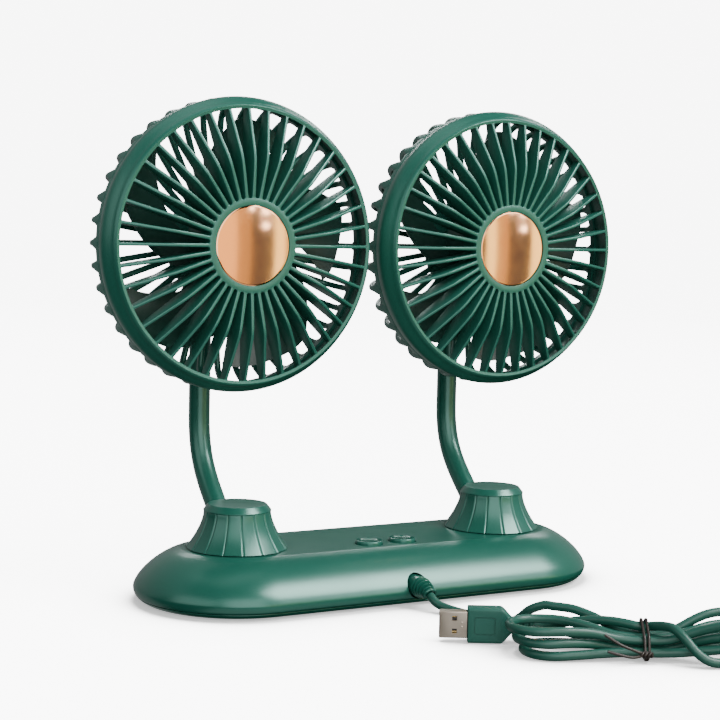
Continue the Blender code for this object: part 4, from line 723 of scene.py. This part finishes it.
BASE_HALF_WIDTH = 49.0
BOTTOM_HALF_WIDTH = 40.4
DECK_HALF_WIDTH = 26.3
WIDEST_HEIGHT = 7.0
PARTING_HEIGHT = 3.2
FLANK_POWER = 1.366
SEAM = 0.15
DECK_EDGE_HEIGHT = 24.1
DECK_EDGE = [(27.4, 24.83), (27.1, 24.92), (26.7, 24.98), (26.4, BASE_HEIGHT), (26.1, BASE_HEIGHT)]
BUTTON_OFFSET = 9.3
BUTTON_FORWARD = 16.4
BUTTON_RADIUS = 6.65
BUTTON_TOP = 26.8
BUTTON_HOLE = [(6.95, 18.0), (6.95, 24.75), (7.08, 25.0), (7.45, 25.2), (7.6, 30.0)]
STEM_HOLE = [(11.3, 20.0), (11.3, 30.0)]
GLAND_RADIUS = 5.8


def pill_loop(radius, height, segments=48):
    """A level pill outline round both turret axes, with points on its straight sides."""
    points = []
    for sign in (1, -1):
        for share in shares(segments):
            turn = pi * (share - 0.5)
            x = HALF_SPACING + radius * cos(turn)
            points.append((sign * x, sign * radius * sin(turn), height))
        for x in (20.0, 8.0, -8.0, -20.0):
            points.append((sign * x, sign * radius, height))
    return points


def lower_flank(height, inset=0.0):
    """The pill's radius where the flank turns in under its widest line."""
    drop = 1 - height / WIDEST_HEIGHT
    swell = (BASE_HALF_WIDTH - BOTTOM_HALF_WIDTH) * sqrt(max(1 - drop * drop, 0.0))
    return BOTTOM_HALF_WIDTH + swell - inset


def upper_flank(share):
    """Radius and height of the flank; share runs from the widest line to the deck."""
    turn = share * pi / 2
    reach = (BASE_HALF_WIDTH - DECK_HALF_WIDTH) * max(cos(turn), 0.0) ** FLANK_POWER
    rise = (BASE_HEIGHT - WIDEST_HEIGHT) * sin(turn) ** FLANK_POWER
    return DECK_HALF_WIDTH + reach, WIDEST_HEIGHT + rise


def gland_tool():
    """The round opening for the strain relief."""
    points = circle(GLAND_RADIUS, 48)
    return skin([[(a, y, GLAND_HEIGHT + b) for a, b in points] for y in (-55.0, -40.0)])


def make_shell():
    """The base shell, opened for the buttons, turret stems and strain relief."""
    low = PARTING_HEIGHT + SEAM
    sections = [(lower_flank(low, 2.2), low), (lower_flank(low, 0.25), low)]
    sections += [(lower_flank(h), h) for h in (3.6, 4.2, 5.0, 6.0)]
    flank = [upper_flank(share) for share in shares(40)]
    sections += [point for point in flank if point[1] < DECK_EDGE_HEIGHT]
    sections += DECK_EDGE
    inner = [(24.0, 22.8), (28.0, 22.0), (40.0, 15.5), (45.2, 8.0), (lower_flank(low, 2.2), 5.0)]
    loops = [pill_loop(radius, height) for radius, height in inner + sections]
    shell = piece("base_shell", skin(loops), "green", "base", ["base_top_shell"], angle=32)
    for x in (-BUTTON_OFFSET, BUTTON_OFFSET):
        cut(shell, revolve(BUTTON_HOLE, SMALL_SEGMENTS, centre=(x, -BUTTON_FORWARD)), "button_hole")
    for _, x in SIDES:
        cut(shell, revolve(STEM_HOLE, SMALL_SEGMENTS, centre=(x, 0)), "stem_hole")
    cut(shell, gland_tool(), "gland_hole")


def make_cover():
    """The bottom cover under the parting line."""
    high = PARTING_HEIGHT - SEAM
    inner = [(36.3, 2.2), (36.3, 0.62), (lower_flank(0.7, 2.0), 0.62), (lower_flank(0.7, 0.4), 0.62)]
    flank = [(lower_flank(h), h) for h in (0.8, 1.2, 1.8, 2.4, 2.85)]
    lip = [(lower_flank(high, 0.2), high), (44.6, high), (44.6, 5.0), (43.0, 5.0), (43.0, 4.2)]
    loops = [pill_loop(radius, height) for radius, height in inner + flank + lip]
    cover = piece("base_cover", skin(loops), "green", "base", ["base_bottom_cover"])
    cut(cover, gland_tool(), "gland_notch")


def make_buttons():
    """Push buttons with a rounded rim and a shallow dish."""
    stem = [(2.6, 18.7, 0), (2.6, 21.5, 0), (7.6, 21.5, 0), (7.6, 22.5, 0), (BUTTON_RADIUS, 22.5, 0)]
    top = [(BUTTON_RADIUS, BUTTON_TOP, 1.5), (4.6, BUTTON_TOP, 1.4), (3.4, BUTTON_TOP - 0.45, 2.0)]
    top += [(0.0, BUTTON_TOP - 0.55, 0)]
    outline = rounded(stem + top, 8)
    for side, x in SIDES:
        body, centre = f"{side}_button", (copysign(BUTTON_OFFSET, x), -BUTTON_FORWARD)
        shape = revolve(outline, SMALL_SEGMENTS, centre=centre)
        piece(f"{side}_push_button", shape, "green_gloss", body, [body])


make_shell()
make_cover()
make_buttons()


# Turrets and arms

FLUTES = 16
FLUTE_PHASE = radians(4.7)
FLUTE_DEPTH = 0.55
FLUTE_REACH = 0.33
PANEL_POINTS = 18
PANEL_FLATNESS = 0.7
TURRET_BASE_RADIUS = 24.3
TURRET_TOP_RADIUS = 16.2
TURRET_HEIGHT = 17.4
TURRET_FLARE_POWER = 1.6
CAP_HEIGHT = 3.2
CAP_TOP_RADIUS = 14.0
CAP_SEAM_FILL = 0.2
ARM_RADIUS = 5.3
ARM_ROOT = Vector((0, 12.5, 30.4))
ARM_UPRIGHT_FROM = 84.0
ARM_PULL = 27.0
ARM_ROOT_ANGLE = radians(46)
EYE_RADIUS = 6.5
EYE_HALF_WIDTH = 4.5
EYE_FACES = ((-4.5, 6.2), (-4.2, EYE_RADIUS), (4.2, EYE_RADIUS), (4.5, 6.2))
NECK_FROM = 156.0
NECK_SPREAD = 1.35
NECK_LEVELS = [(NECK_FROM, 1.0), (157.0, 1.0), (158.2, 0.9), (159.2, 0.6), (160.0, 0.25), (161.0, 0.0)]
NECK_LEVELS += [(168.0, 0.0)]


def turret_radius(share):
    """Radius of the flared flank from foot to top."""
    return TURRET_TOP_RADIUS + (TURRET_BASE_RADIUS - TURRET_TOP_RADIUS) * (1 - share) ** TURRET_FLARE_POWER


def flute_loop(radius, height, depth):
    """A ring of nearly flat panels parted by narrow grooves."""
    half = pi / FLUTES
    points = []
    for k in range(FLUTES):
        for i in range(PANEL_POINTS):
            off = half * sin(pi * (i / PANEL_POINTS - 0.5))
            flat = radius * cos(half) / cos(off)
            edge = (half - abs(off)) * radius
            groove = depth * exp(-((edge / FLUTE_REACH) ** 2))
            reach = radius + (flat - radius) * PANEL_FLATNESS - groove
            turn = FLUTE_PHASE + half * (2 * k + 1) + off
            points.append((reach * cos(turn), reach * sin(turn), height))
    return points


def make_turrets():
    """Fluted turret, stem and cap."""
    foot = BASE_HEIGHT + FIT_GAP
    top = foot + TURRET_HEIGHT + CAP_SEAM_FILL
    loops = [flute_loop(turret_radius(0) - 0.5, foot, 0.4)]
    for share in shares(16):
        height = foot + 0.15 + share * (TURRET_HEIGHT - 0.3)
        loops.append(flute_loop(turret_radius(share), height, FLUTE_DEPTH))
    loops.append(flute_loop(turret_radius(1) - 0.15, top, 0.3))
    stem = [(8.0, 17.2), (11.0, 17.2), (11.0, 20.8), (9.8, 20.8), (9.8, 22.5), (11.0, 22.5), (11.0, 26.0)]
    stem = revolve(stem + [(8.0, 26.0)], 48, ring=True)
    cap_top = foot + TURRET_HEIGHT + FIT_GAP + CAP_HEIGHT
    cap_foot = top + SEAM / 2
    rim = [(TURRET_TOP_RADIUS, cap_foot, 0.12), (TURRET_TOP_RADIUS, cap_foot + 0.5, 0.25)]
    rim += [(CAP_TOP_RADIUS, cap_top, 0.45), (0.0, cap_top, 0)]
    cap = revolve(rounded([(7.7, 41.0, 0), (7.7, cap_foot, 0)] + rim, 5))
    for side, x in SIDES:
        body, stand = f"{side}_fluted_turret", f"{side}_stand"
        shape = shifted(joined([skin(loops), stem]), x=x)
        piece(body, shape, "green", stand, [f"{side}_turret"], angle=50)
        piece(f"{side}_cap", shifted(cap, x=x), "green", stand, [f"{side}_turret_cap"])


def arm_path():
    """Centre line of the arm: straight out of the turret, then curving upright."""
    lean = Vector((0, cos(ARM_ROOT_ANGLE), sin(ARM_ROOT_ANGLE)))
    end = Vector((0, ARM_BACKSET, ARM_UPRIGHT_FROM))
    pull_start, pull_end = ARM_ROOT + lean * ARM_PULL, end - Vector((0, 0, ARM_PULL))
    points = []
    for t in shares(24):
        s = 1 - t
        inner = pull_start * (3 * s * s * t) + pull_end * (3 * s * t * t)
        points.append(ARM_ROOT * s**3 + inner + end * t**3)
    points += [Vector((0, ARM_BACKSET, z)) for z in (100.0, 120.0, 140.0, 152.0, NECK_FROM)]
    return points


def neck_loop(height, roundness):
    """The neck's section between the round tube and the flat-sided eye."""
    points = []
    for a, b in circle(1.0, TUBE_SEGMENTS):
        pair = []
        for value in (a, b):
            flat = max(-1.0, min(1.0, value * NECK_SPREAD)) * EYE_HALF_WIDTH
            pair.append(flat + (value * ARM_RADIUS - flat) * roundness)
        points.append((pair[0], ARM_BACKSET + pair[1], height))
    return points


def make_arms():
    """Bent tube, flattened neck and the eye that the head tilts on."""
    tube = sweep(arm_path(), lambda i: circle(ARM_RADIUS, TUBE_SEGMENTS))
    neck = skin([neck_loop(height, roundness) for height, roundness in NECK_LEVELS])
    eye = []
    for x, radius in EYE_FACES:
        eye.append([(x, ARM_BACKSET + a, HEAD_HEIGHT + b) for a, b in circle(radius, 48)])
    shape = joined([tube, neck, skin(eye)])
    for side, x in SIDES:
        arm = f"{side}_arm"
        piece(f"{arm}_tube", shifted(shape, x=x), "green", f"{side}_stand", [arm])


make_turrets()
make_arms()


# Heads: depth runs back from the crown of the hub disc

RIBS = 40
RIM_OUTER = [(65.1, 6.4), (65.9, 7.3), (66.6, 8.8), (68.2, 11.3), (69.2, 13.4), (69.4, 15.2), (69.1, 17.4)]
RIM_OUTER += [(68.85, 18.7)]
RIM_LIP = [(66.0, 11.7), (63.4, 6.75), (63.5, 6.45), (64.8, 6.2)]
RIM_BACK = [(68.6, 18.9), (66.6, 18.9)]
FRONT_LINE = [(20.6, 0.45), (25.0, 0.05), (30.0, -0.35), (36.0, -0.75), (40.0, -0.82), (43.5, -0.15)]
FRONT_LINE += [(47.0, 1.0), (52.0, 2.7), (57.5, 4.5), (63.4, 6.45), (65.2, 7.05)]
FIN_RADII = [21.0, 21.9, 22.02, 22.15, 22.3, 22.5, 22.85, 24.5, 27, 30, 33, 36, 38, 40, 42, 44, 46]
FIN_RADII += [49, 52, 56, 60, 62.9, 63.05, 63.2, 63.4, 64.6]
FIN_WIDTH = 1.5
FIN_HUB_WIDTH = 1.75
FIN_BACK = 11.7
FIN_EDGE = 0.5
FIN_WIDENS_AT = 41.0
FIN_WIDENS_OVER = 16.0
FIN_TAIL_LEAN = 2.4
FIN_LEANS_AT = 58.0
FIN_LEANS_OVER = 6.6
HUB_RADIUS = 21.9
RIM_INNER_RADIUS = 63.4
SLOT_END_ROUND = 0.93
RIM_FILLET = 0.6
REAR_LINE = [(67.3, 20.6), (67.6, 24.0), (67.7, 27.6), (66.7, 31.2), (64.8, 34.3), (61.8, 37.2)]
REAR_LINE += [(58.0, 38.6), (45.0, 40.2), (26.0, 42.3), (24.5, 42.5)]
REAR_RING_END = 22.8
REAR_RIB_WIDTH = 2.8
REAR_RIB_ROOT_WIDTH = 6.4
REAR_ROOT_REACH = 5.2
REAR_RIB_DEPTH = 3.3
DISC_RADIUS = 18.75
DISC_EDGE = [(DISC_RADIUS, 1.5), (DISC_RADIUS, 0.72), (DISC_RADIUS - 0.06, 0.64)]
DISC_DOME_SHARE = 0.993
DISC_CROWN = 0.6
BLADES = 5
BLADE_PHASE = radians(47.9)
BLADE_ROOT_RADIUS = 18.5
BLADE_SPAN = 42.0
BLADE_TIP_ROUND = 3.0
BLADE_ROOT_SWEEP = radians(25)
BLADE_TIP_SWEEP = radians(19.5)
BLADE_LEAN = radians(46)
BLADE_MIDDLE = 26.0
BLADE_HALF_PITCH = 8.5
BLADE_CAMBER = 3.2
BLADE_HALF_THICKNESS = 0.8
LUG_RADIUS = 6.5
LUG_ROOT = 46.3
LUG_FACES = ((4.8, -0.25), (5.05, 0.0), (7.75, 0.0), (8.0, -0.25))
SCREWS = 3
SCREW_CIRCLE = 21.1
SCREW_SEAT = 46.8


def on_head(x):
    """Head coordinates as points in the fan's frame."""
    return lambda p: (x + p[0], p[2] - HEAD_FORWARD, HEAD_HEIGHT - p[1])


def on_tilt_axis(x):
    """Coordinates with Z along the tilt axis as points in the fan's frame."""
    return lambda p: (x + p[2], ARM_BACKSET + p[1], HEAD_HEIGHT - p[0])


def both_heads(name, shape, finish, node, angle=40.0, body="head"):
    """A piece of that shape on both heads, in place of the CAD node."""
    for side, x in SIDES:
        placed = mapped(shape, on_head(x))
        piece(f"{side}_{name}", placed, finish, f"{side}_{body}", [f"{side}_{node}"], angle)


def along(pairs, place):
    """The second value where the first reaches place, on a line through the pairs."""
    for (start, low), (end, high) in zip(pairs, pairs[1:]):
        if place <= end:
            return low + (high - low) * (place - start) / (end - start)
    return pairs[-1][1]


def turned_round(shape, turn):
    """A shape turned about the head's axis."""
    c, s = cos(turn), sin(turn)
    return mapped(shape, lambda p: (p[0] * c - p[1] * s, p[0] * s + p[1] * c, p[2]))


def fillet(room, radius):
    """How far a round corner reaches out where this much room is left to its wall."""
    inside = min(max(radius - room, 0.0), radius)
    return radius - sqrt(radius * radius - inside * inside)


def fin_width(radius):
    """Width of a front rib, flared into the hub and the rim."""
    width = FIN_WIDTH + (FIN_HUB_WIDTH - FIN_WIDTH) * ease((FIN_WIDENS_AT - radius) / FIN_WIDENS_OVER)
    flare = fillet(radius - HUB_RADIUS, SLOT_END_ROUND) + fillet(RIM_INNER_RADIUS - radius, RIM_FILLET)
    return width + 2 * flare


def front_fin():
    """A deep thin rib with a rounded front edge, from the hub into the rim."""
    front_line = smooth_path(FRONT_LINE, 4)
    loops = []
    for radius in FIN_RADII:
        half, front = fin_width(radius) / 2, along(front_line, radius)
        edge = [(-half, FIN_BACK), (-half, front + FIN_EDGE)]
        edge += [(-half + FIN_EDGE * 0.3, front + FIN_EDGE * 0.3), (-half + FIN_EDGE, front)]
        section = edge + [(-a, t) for a, t in edge[::-1]]
        lean = FIN_TAIL_LEAN * ease((radius - FIN_LEANS_AT) / FIN_LEANS_OVER)
        loops.append([(radius + lean * (t - front) / (FIN_BACK - front), a, t) for a, t in section])
    return skin(loops)


def make_front_cages():
    """Rounded rim, forty bent ribs and the flat hub ring with its skirt."""
    rim = revolve(RIM_LIP + smooth_path(RIM_OUTER, 3) + RIM_BACK, RIM_SEGMENTS, ring=True)
    skirt = [(0.0, 3.8, 0), (19.9, 3.8, 0), (19.9, FIN_BACK, 0), (HUB_RADIUS, FIN_BACK, 0)]
    crest = [(HUB_RADIUS, 0.3, 0.25), (20.5, 0.12, 8.0), (18.82, 0.3, 0.1), (18.82, 1.8, 0), (0.0, 1.8, 0)]
    hub = revolve(rounded(skirt + crest, 5), HUB_SEGMENTS)
    fin = front_fin()
    fins = [turned_round(fin, tau * k / RIBS) for k in range(RIBS)]
    shape = joined([rim, hub] + fins)
    both_heads("front_cage", shape, "green_cage", "front_grille", angle=38)


def rounded_section(half_width, half_depth, power=2.8, segments=20):
    """A rounded section with flattened sides."""
    points = []
    for a, b in circle(1.0, segments):
        width = half_width * copysign(abs(a) ** (2 / power), a)
        points.append((width, half_depth * copysign(abs(b) ** (2 / power), b)))
    return points


def make_rear_cages():
    """Rear ring, forty ribs with filleted roots, and the motor plate."""
    ring = rounded([(65.4, 19.2, 0), (68.8, 19.2, 0.3), (68.8, REAR_RING_END, 0.3), (65.4, REAR_RING_END, 0)])
    plate = rounded([(16.5, 43.7, 0), (26.0, 43.7, 0.5), (26.0, 41.2, 0.5), (16.5, 41.2, 0)])
    path = smooth_path(REAR_LINE, 4)
    sections = []
    for _, depth in path:
        root = ease((REAR_RING_END + REAR_ROOT_REACH - depth) / REAR_ROOT_REACH)
        width = REAR_RIB_WIDTH + (REAR_RIB_ROOT_WIDTH - REAR_RIB_WIDTH) * root
        sections.append(rounded_section(width / 2, REAR_RIB_DEPTH / 2))
    points = [(radius, 0.0, depth) for radius, depth in path]
    rib = sweep(points, lambda i: sections[i], side=Vector((0, 1, 0)))
    ribs = [turned_round(rib, tau * k / RIBS) for k in range(RIBS)]
    turned = [revolve(ring, RIM_SEGMENTS, ring=True), revolve(plate, HUB_SEGMENTS, ring=True)]
    shape = joined(turned + ribs)
    both_heads("rear_cage", shape, "green_cage", "rear_grille", angle=38)


def make_discs():
    """Domed metal disc with a turned-down edge."""
    outline = list(DISC_EDGE)
    for step in shares(24)[:0:-1]:
        share = DISC_DOME_SHARE * step
        outline.append((DISC_RADIUS * share, DISC_CROWN * share * share))
    both_heads("disc", revolve(outline, HUB_SEGMENTS), "copper", "hub_disc", angle=60)


def blade_point(span, chord, face):
    """A point of a blade; span and chord run from 0 to 1, face is -1 in front and 1 behind."""
    across = 2 * chord - 1
    radius = BLADE_ROOT_RADIUS + BLADE_SPAN * span - BLADE_TIP_ROUND * span * across**4
    half_sweep = BLADE_ROOT_SWEEP + (BLADE_TIP_SWEEP - BLADE_ROOT_SWEEP) * span
    turn = BLADE_LEAN * span + half_sweep * across
    middle = BLADE_MIDDLE + BLADE_HALF_PITCH * across + BLADE_CAMBER * (1 - across * across)
    thickness = BLADE_HALF_THICKNESS * max(1 - abs(across) ** 8, 0.2)
    return radius * cos(turn), radius * sin(turn), middle + face * thickness


def blade():
    """One wide pitched blade."""
    around = [(chord, -1) for chord in shares(20)] + [(chord, 1) for chord in shares(20)[::-1]]
    return skin([[blade_point(span, chord, face) for chord, face in around] for span in shares(14)])


def make_rotors():
    """Cup hub and five wide pitched blades."""
    bore = [(1.55, 15.0, 0), (1.55, 18.2, 0), (4.0, 18.2, 0.2), (4.0, 15.0, 0), (17.5, 15.0, 1.0)]
    wall = [(17.5, 33.5, 0.2), (19.5, 33.5, 0.4), (19.5, 13.0, 2.0), (1.55, 13.0, 0)]
    cup = revolve(rounded(bore + wall, 6), ring=True)
    one = blade()
    blades = [turned_round(one, tau * k / BLADES - BLADE_PHASE) for k in range(BLADES)]
    shape = joined([cup] + blades)
    both_heads("rotor_blades", shape, "rotor", "impeller", angle=50, body="rotor")


def lug_outline(grow):
    """A lug's outline about the tilt axis, from its straight root in the housing."""
    radius = LUG_RADIUS + grow
    turns = [pi * share for share in shares(24)]
    nose = [(radius * cos(turn), TILT_DEPTH + radius * sin(turn)) for turn in turns]
    return [(radius, LUG_ROOT)] + nose + [(-radius, LUG_ROOT)]


def make_housings():
    """Motor housing: collar, flange and domed back with two lugs."""
    collar = [(13.8, 43.3, 0), (13.8, 27.0, 0.2), (16.2, 27.0, 0.4), (16.2, 44.0, 0), (24.0, 44.0, 0.4)]
    back = [(24.0, 46.5, 0.6), (17.5, 46.55, 0.8), (14.5, 49.0, 1.2), (0.0, 49.2, 0)]
    shapes = [revolve(rounded(collar + back, 6))]
    for sign in (-1, 1):
        shapes.append(skin([[(sign * a, y, t) for y, t in lug_outline(grow)] for a, grow in LUG_FACES]))
    both_heads("motor_cover", joined(shapes), "green", "motor_housing")


def cross_recess(half_length, half_width, low, high):
    """The two slots of a cross recess, square to Z."""
    long, short = (-half_length, half_length), (-half_width, half_width)
    return flat_box(long, short, (low, high)), flat_box(short, long, (low, high))


def recessed_screw(node, head, shape, slots, place):
    """A screw with a cross recess, put in its place by a mapping."""
    made = piece(f"{node}_detailed", mapped(shape, place), "steel", head, [node])
    for slot in slots:
        cut(made, mapped(slot, place), "recess")


def make_housing_screws():
    """Three pan-head screws that hold each motor housing."""
    seat = SCREW_SEAT
    shank = [(0.9, seat - 5.0, 0), (0.9, seat, 0), (1.9, seat, 0)]
    pan = [(1.9, seat + 0.6, 0.2), (1.4, seat + 1.2, 0.3), (0.0, seat + 1.2, 0)]
    turned = revolve(rounded(shank + pan), 32)
    slots = cross_recess(1.1, 0.28, seat + 0.6, seat + 3.0)
    for side, x in SIDES:
        for i in range(SCREWS):
            turn = tau * i / SCREWS - pi / 2
            a, b = SCREW_CIRCLE * cos(turn), SCREW_CIRCLE * sin(turn)
            node, shape = f"{side}_housing_screw_{i + 1}", shifted(turned, a, b)
            recessed_screw(node, f"{side}_head", shape, [shifted(slot, a, b) for slot in slots], on_head(x))


def make_tilt_screws():
    """The screw through each pair of lugs and the arm's eye."""
    pan = [(1.5, -8.0, 0), (1.5, 8.3, 0), (3.2, 8.3, 0), (3.2, 9.3, 0.3), (2.4, 10.1, 0.4), (0.0, 10.1, 0)]
    turned = revolve(rounded(pan), TUBE_SEGMENTS)
    slots = cross_recess(1.9, 0.4, 9.3, 12.0)
    for side, x in SIDES:
        recessed_screw(f"{side}_tilt_screw", f"{side}_head", turned, slots, on_tilt_axis(x))


make_front_cages()
make_rear_cages()
make_discs()
make_rotors()
make_housings()
make_housing_screws()
make_tilt_screws()


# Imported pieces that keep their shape

KEPT = {"anti_slip_pad": "silicone", "circuit_board": "board"}
KEPT |= {f"base_screw_{number}": "steel" for number in range(1, 5)}
for side, _ in SIDES:
    KEPT[f"{side}_switch"] = "silicone"
    KEPT |= {f"{side}_{part}": "steel" for part in ("swivel_retainer", "motor", "motor_shaft")}
for node, finish in KEPT.items():
    kept_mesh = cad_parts[node].data
    kept_mesh.materials.clear()
    kept_mesh.materials.append(MATERIALS[finish])


# Studio

FLOOR_GLOW = 8.0
# Painted shade on the floor: its glow where it is darkest, and how far in metres it reaches from what stands
# above
PAINTED_SHADE_GLOW = 0.5
PAINTED_SHADE_REACH = 0.05
FLOOR_HALF = 6.0
FLOOR_DROP = 0.0002
LIGHT_DISTANCE = 1.8
CARD_ELEVATION = -1.0
CARD_HEIGHT = 0.8
TAN = (1.0, 0.68, 0.30)
CREAM = (1.0, 0.95, 0.45)
DUSK = (1.0, 0.95, 0.95)

# Name, azimuth and elevation in degrees, width and height in metres, power in watts
LIGHTS = [
    ("key", 46, 46, 0.95, 0.9, 54.0),
    ("low_key", 34, 19, 0.7, 0.40, 5.0),
    ("front_fill", -15, 18, 1.5, 1.9, 27.0),
    ("left_fill", -75, 20, 1.6, 1.2, 9.0),
    ("top", -160, 78, 1.2, 1.2, 4.5),
    ("right_fill", 95, 10, 3.4, 1.6, 6.8),
    ("low_fill", -10, -50, 2.6, 1.8, 10.0),
    ("deck_glare", 149, 27, 1.4, 0.10, 6.5),
    ("back", -158, 32, 3.2, 2.2, 9.0),
    ("back_low", -165, -25, 2.6, 1.6, 5.0),
]
# Flat patches that the discs mirror: name, first and last azimuth, radiance, colour
MIRRORED_CARDS = [
    ("tan_left", 8.0, 19.5, 2.2, TAN),
    ("brown_left", 19.5, 23.0, 1.0, TAN),
    ("shade_left", 23.0, 28.9, 0.20, DUSK),
    ("cream_left", 28.9, 31.6, 3.2, CREAM),
    ("tan_right", 31.6, 35.0, 1.2, TAN),
    ("shade_right", 35.0, 41.4, 0.20, DUSK),
    ("cream_right", 41.4, 50.0, 3.2, CREAM),
]
# Highlights on the discs: name, azimuth for the left and the right one, then as for LIGHTS
MIRRORED_SPOTS = [
    ("streak", 23.2, 35.9, 8.5, 0.035, 0.12, 0.12),
    ("spot", 26.7, 39.2, 6.8, 0.06, 0.07, 0.12),
    ("low_spot", 26.6, 39.1, 3.4, 0.05, 0.035, 0.06),
]


def floor_material():
    """Matt pale paper that glows evenly, with painted shade only where something stands close above it."""
    made, tree, shader = new_material("pale_floor")
    # Painted shadow: ambient occlusion dims the floor's glow under and beside the fan, plug and cord
    near = add_node(tree, "ShaderNodeAmbientOcclusion", {"Distance": PAINTED_SHADE_REACH})
    near.samples = 16
    values = {
        "Base Color": (0.9, 0.9, 0.9, 1.0),
        "Roughness": spread(tree, noise(tree, scale=3.0), low=0.80, high=0.86),
        "Specular IOR Level": 0.0,
        "Emission Color": (*WHITE, 1.0),
        "Emission Strength": spread(tree, near.outputs["AO"], PAINTED_SHADE_GLOW, FLOOR_GLOW, 0.52, 0.98),
    }
    set_inputs(shader, values)
    return made


def make_floor():
    """A level sheet just under the fan that neither lights it nor shows in its gloss."""
    mesh = bpy.data.meshes.new("floor")
    half = FLOOR_HALF
    corners = [(-half, -half, 0), (half, -half, 0), (half, half, 0), (-half, half, 0)]
    mesh.from_pydata(corners, [], [(0, 1, 2, 3)])
    mesh.materials.append(floor_material())
    made = linked("floor", mesh)
    made.location.z = -FLOOR_DROP
    made.visible_glossy = False
    made.visible_diffuse = False
    made.visible_shadow = False


def softbox(name, azimuth, elevation, width, height, energy, colour=WHITE):
    """A soft light that faces the heads; azimuth runs from the front towards +X."""
    data = bpy.data.lights.new(name, "AREA")
    data.shape = "RECTANGLE"
    data.size = width
    data.size_y = height
    data.energy = energy
    data.color = colour
    made = linked(name, data)
    turn, rise = radians(azimuth), radians(elevation)
    level = cos(rise)
    away = Vector((sin(turn) * level, -cos(turn) * level, sin(rise)))
    made.location = Vector((0.0, 0.0, HEAD_HEIGHT * MM)) + away * LIGHT_DISTANCE
    made.rotation_mode = "QUATERNION"
    made.rotation_quaternion = (-away).to_track_quat("-Z", "Y")


def make_lights():
    """Key lights and broad fills, and the cards and spots that the hub discs mirror."""
    for light in LIGHTS:
        softbox(*light)
    for name, start, stop, radiance, colour in MIRRORED_CARDS:
        width = 2.0 * LIGHT_DISTANCE * tan(radians(stop - start) / 2)
        energy = radiance * pi * width * CARD_HEIGHT
        softbox(name, (start + stop) / 2, CARD_ELEVATION, width, CARD_HEIGHT, energy, colour)
    for name, left, right, *spot in MIRRORED_SPOTS:
        softbox(f"{name}_left", left, *spot)
        softbox(f"{name}_right", right, *spot)


def make_world():
    """A white backdrop that only the camera sees."""
    world = bpy.data.worlds.new("studio")
    world.use_nodes = True
    set_inputs(world.node_tree.nodes["Background"], {"Color": (*WHITE, 1.0), "Strength": FLOOR_GLOW})
    world.cycles_visibility.diffuse = False
    world.cycles_visibility.glossy = False
    bpy.context.scene.world = world


make_floor()
make_lights()
make_world()
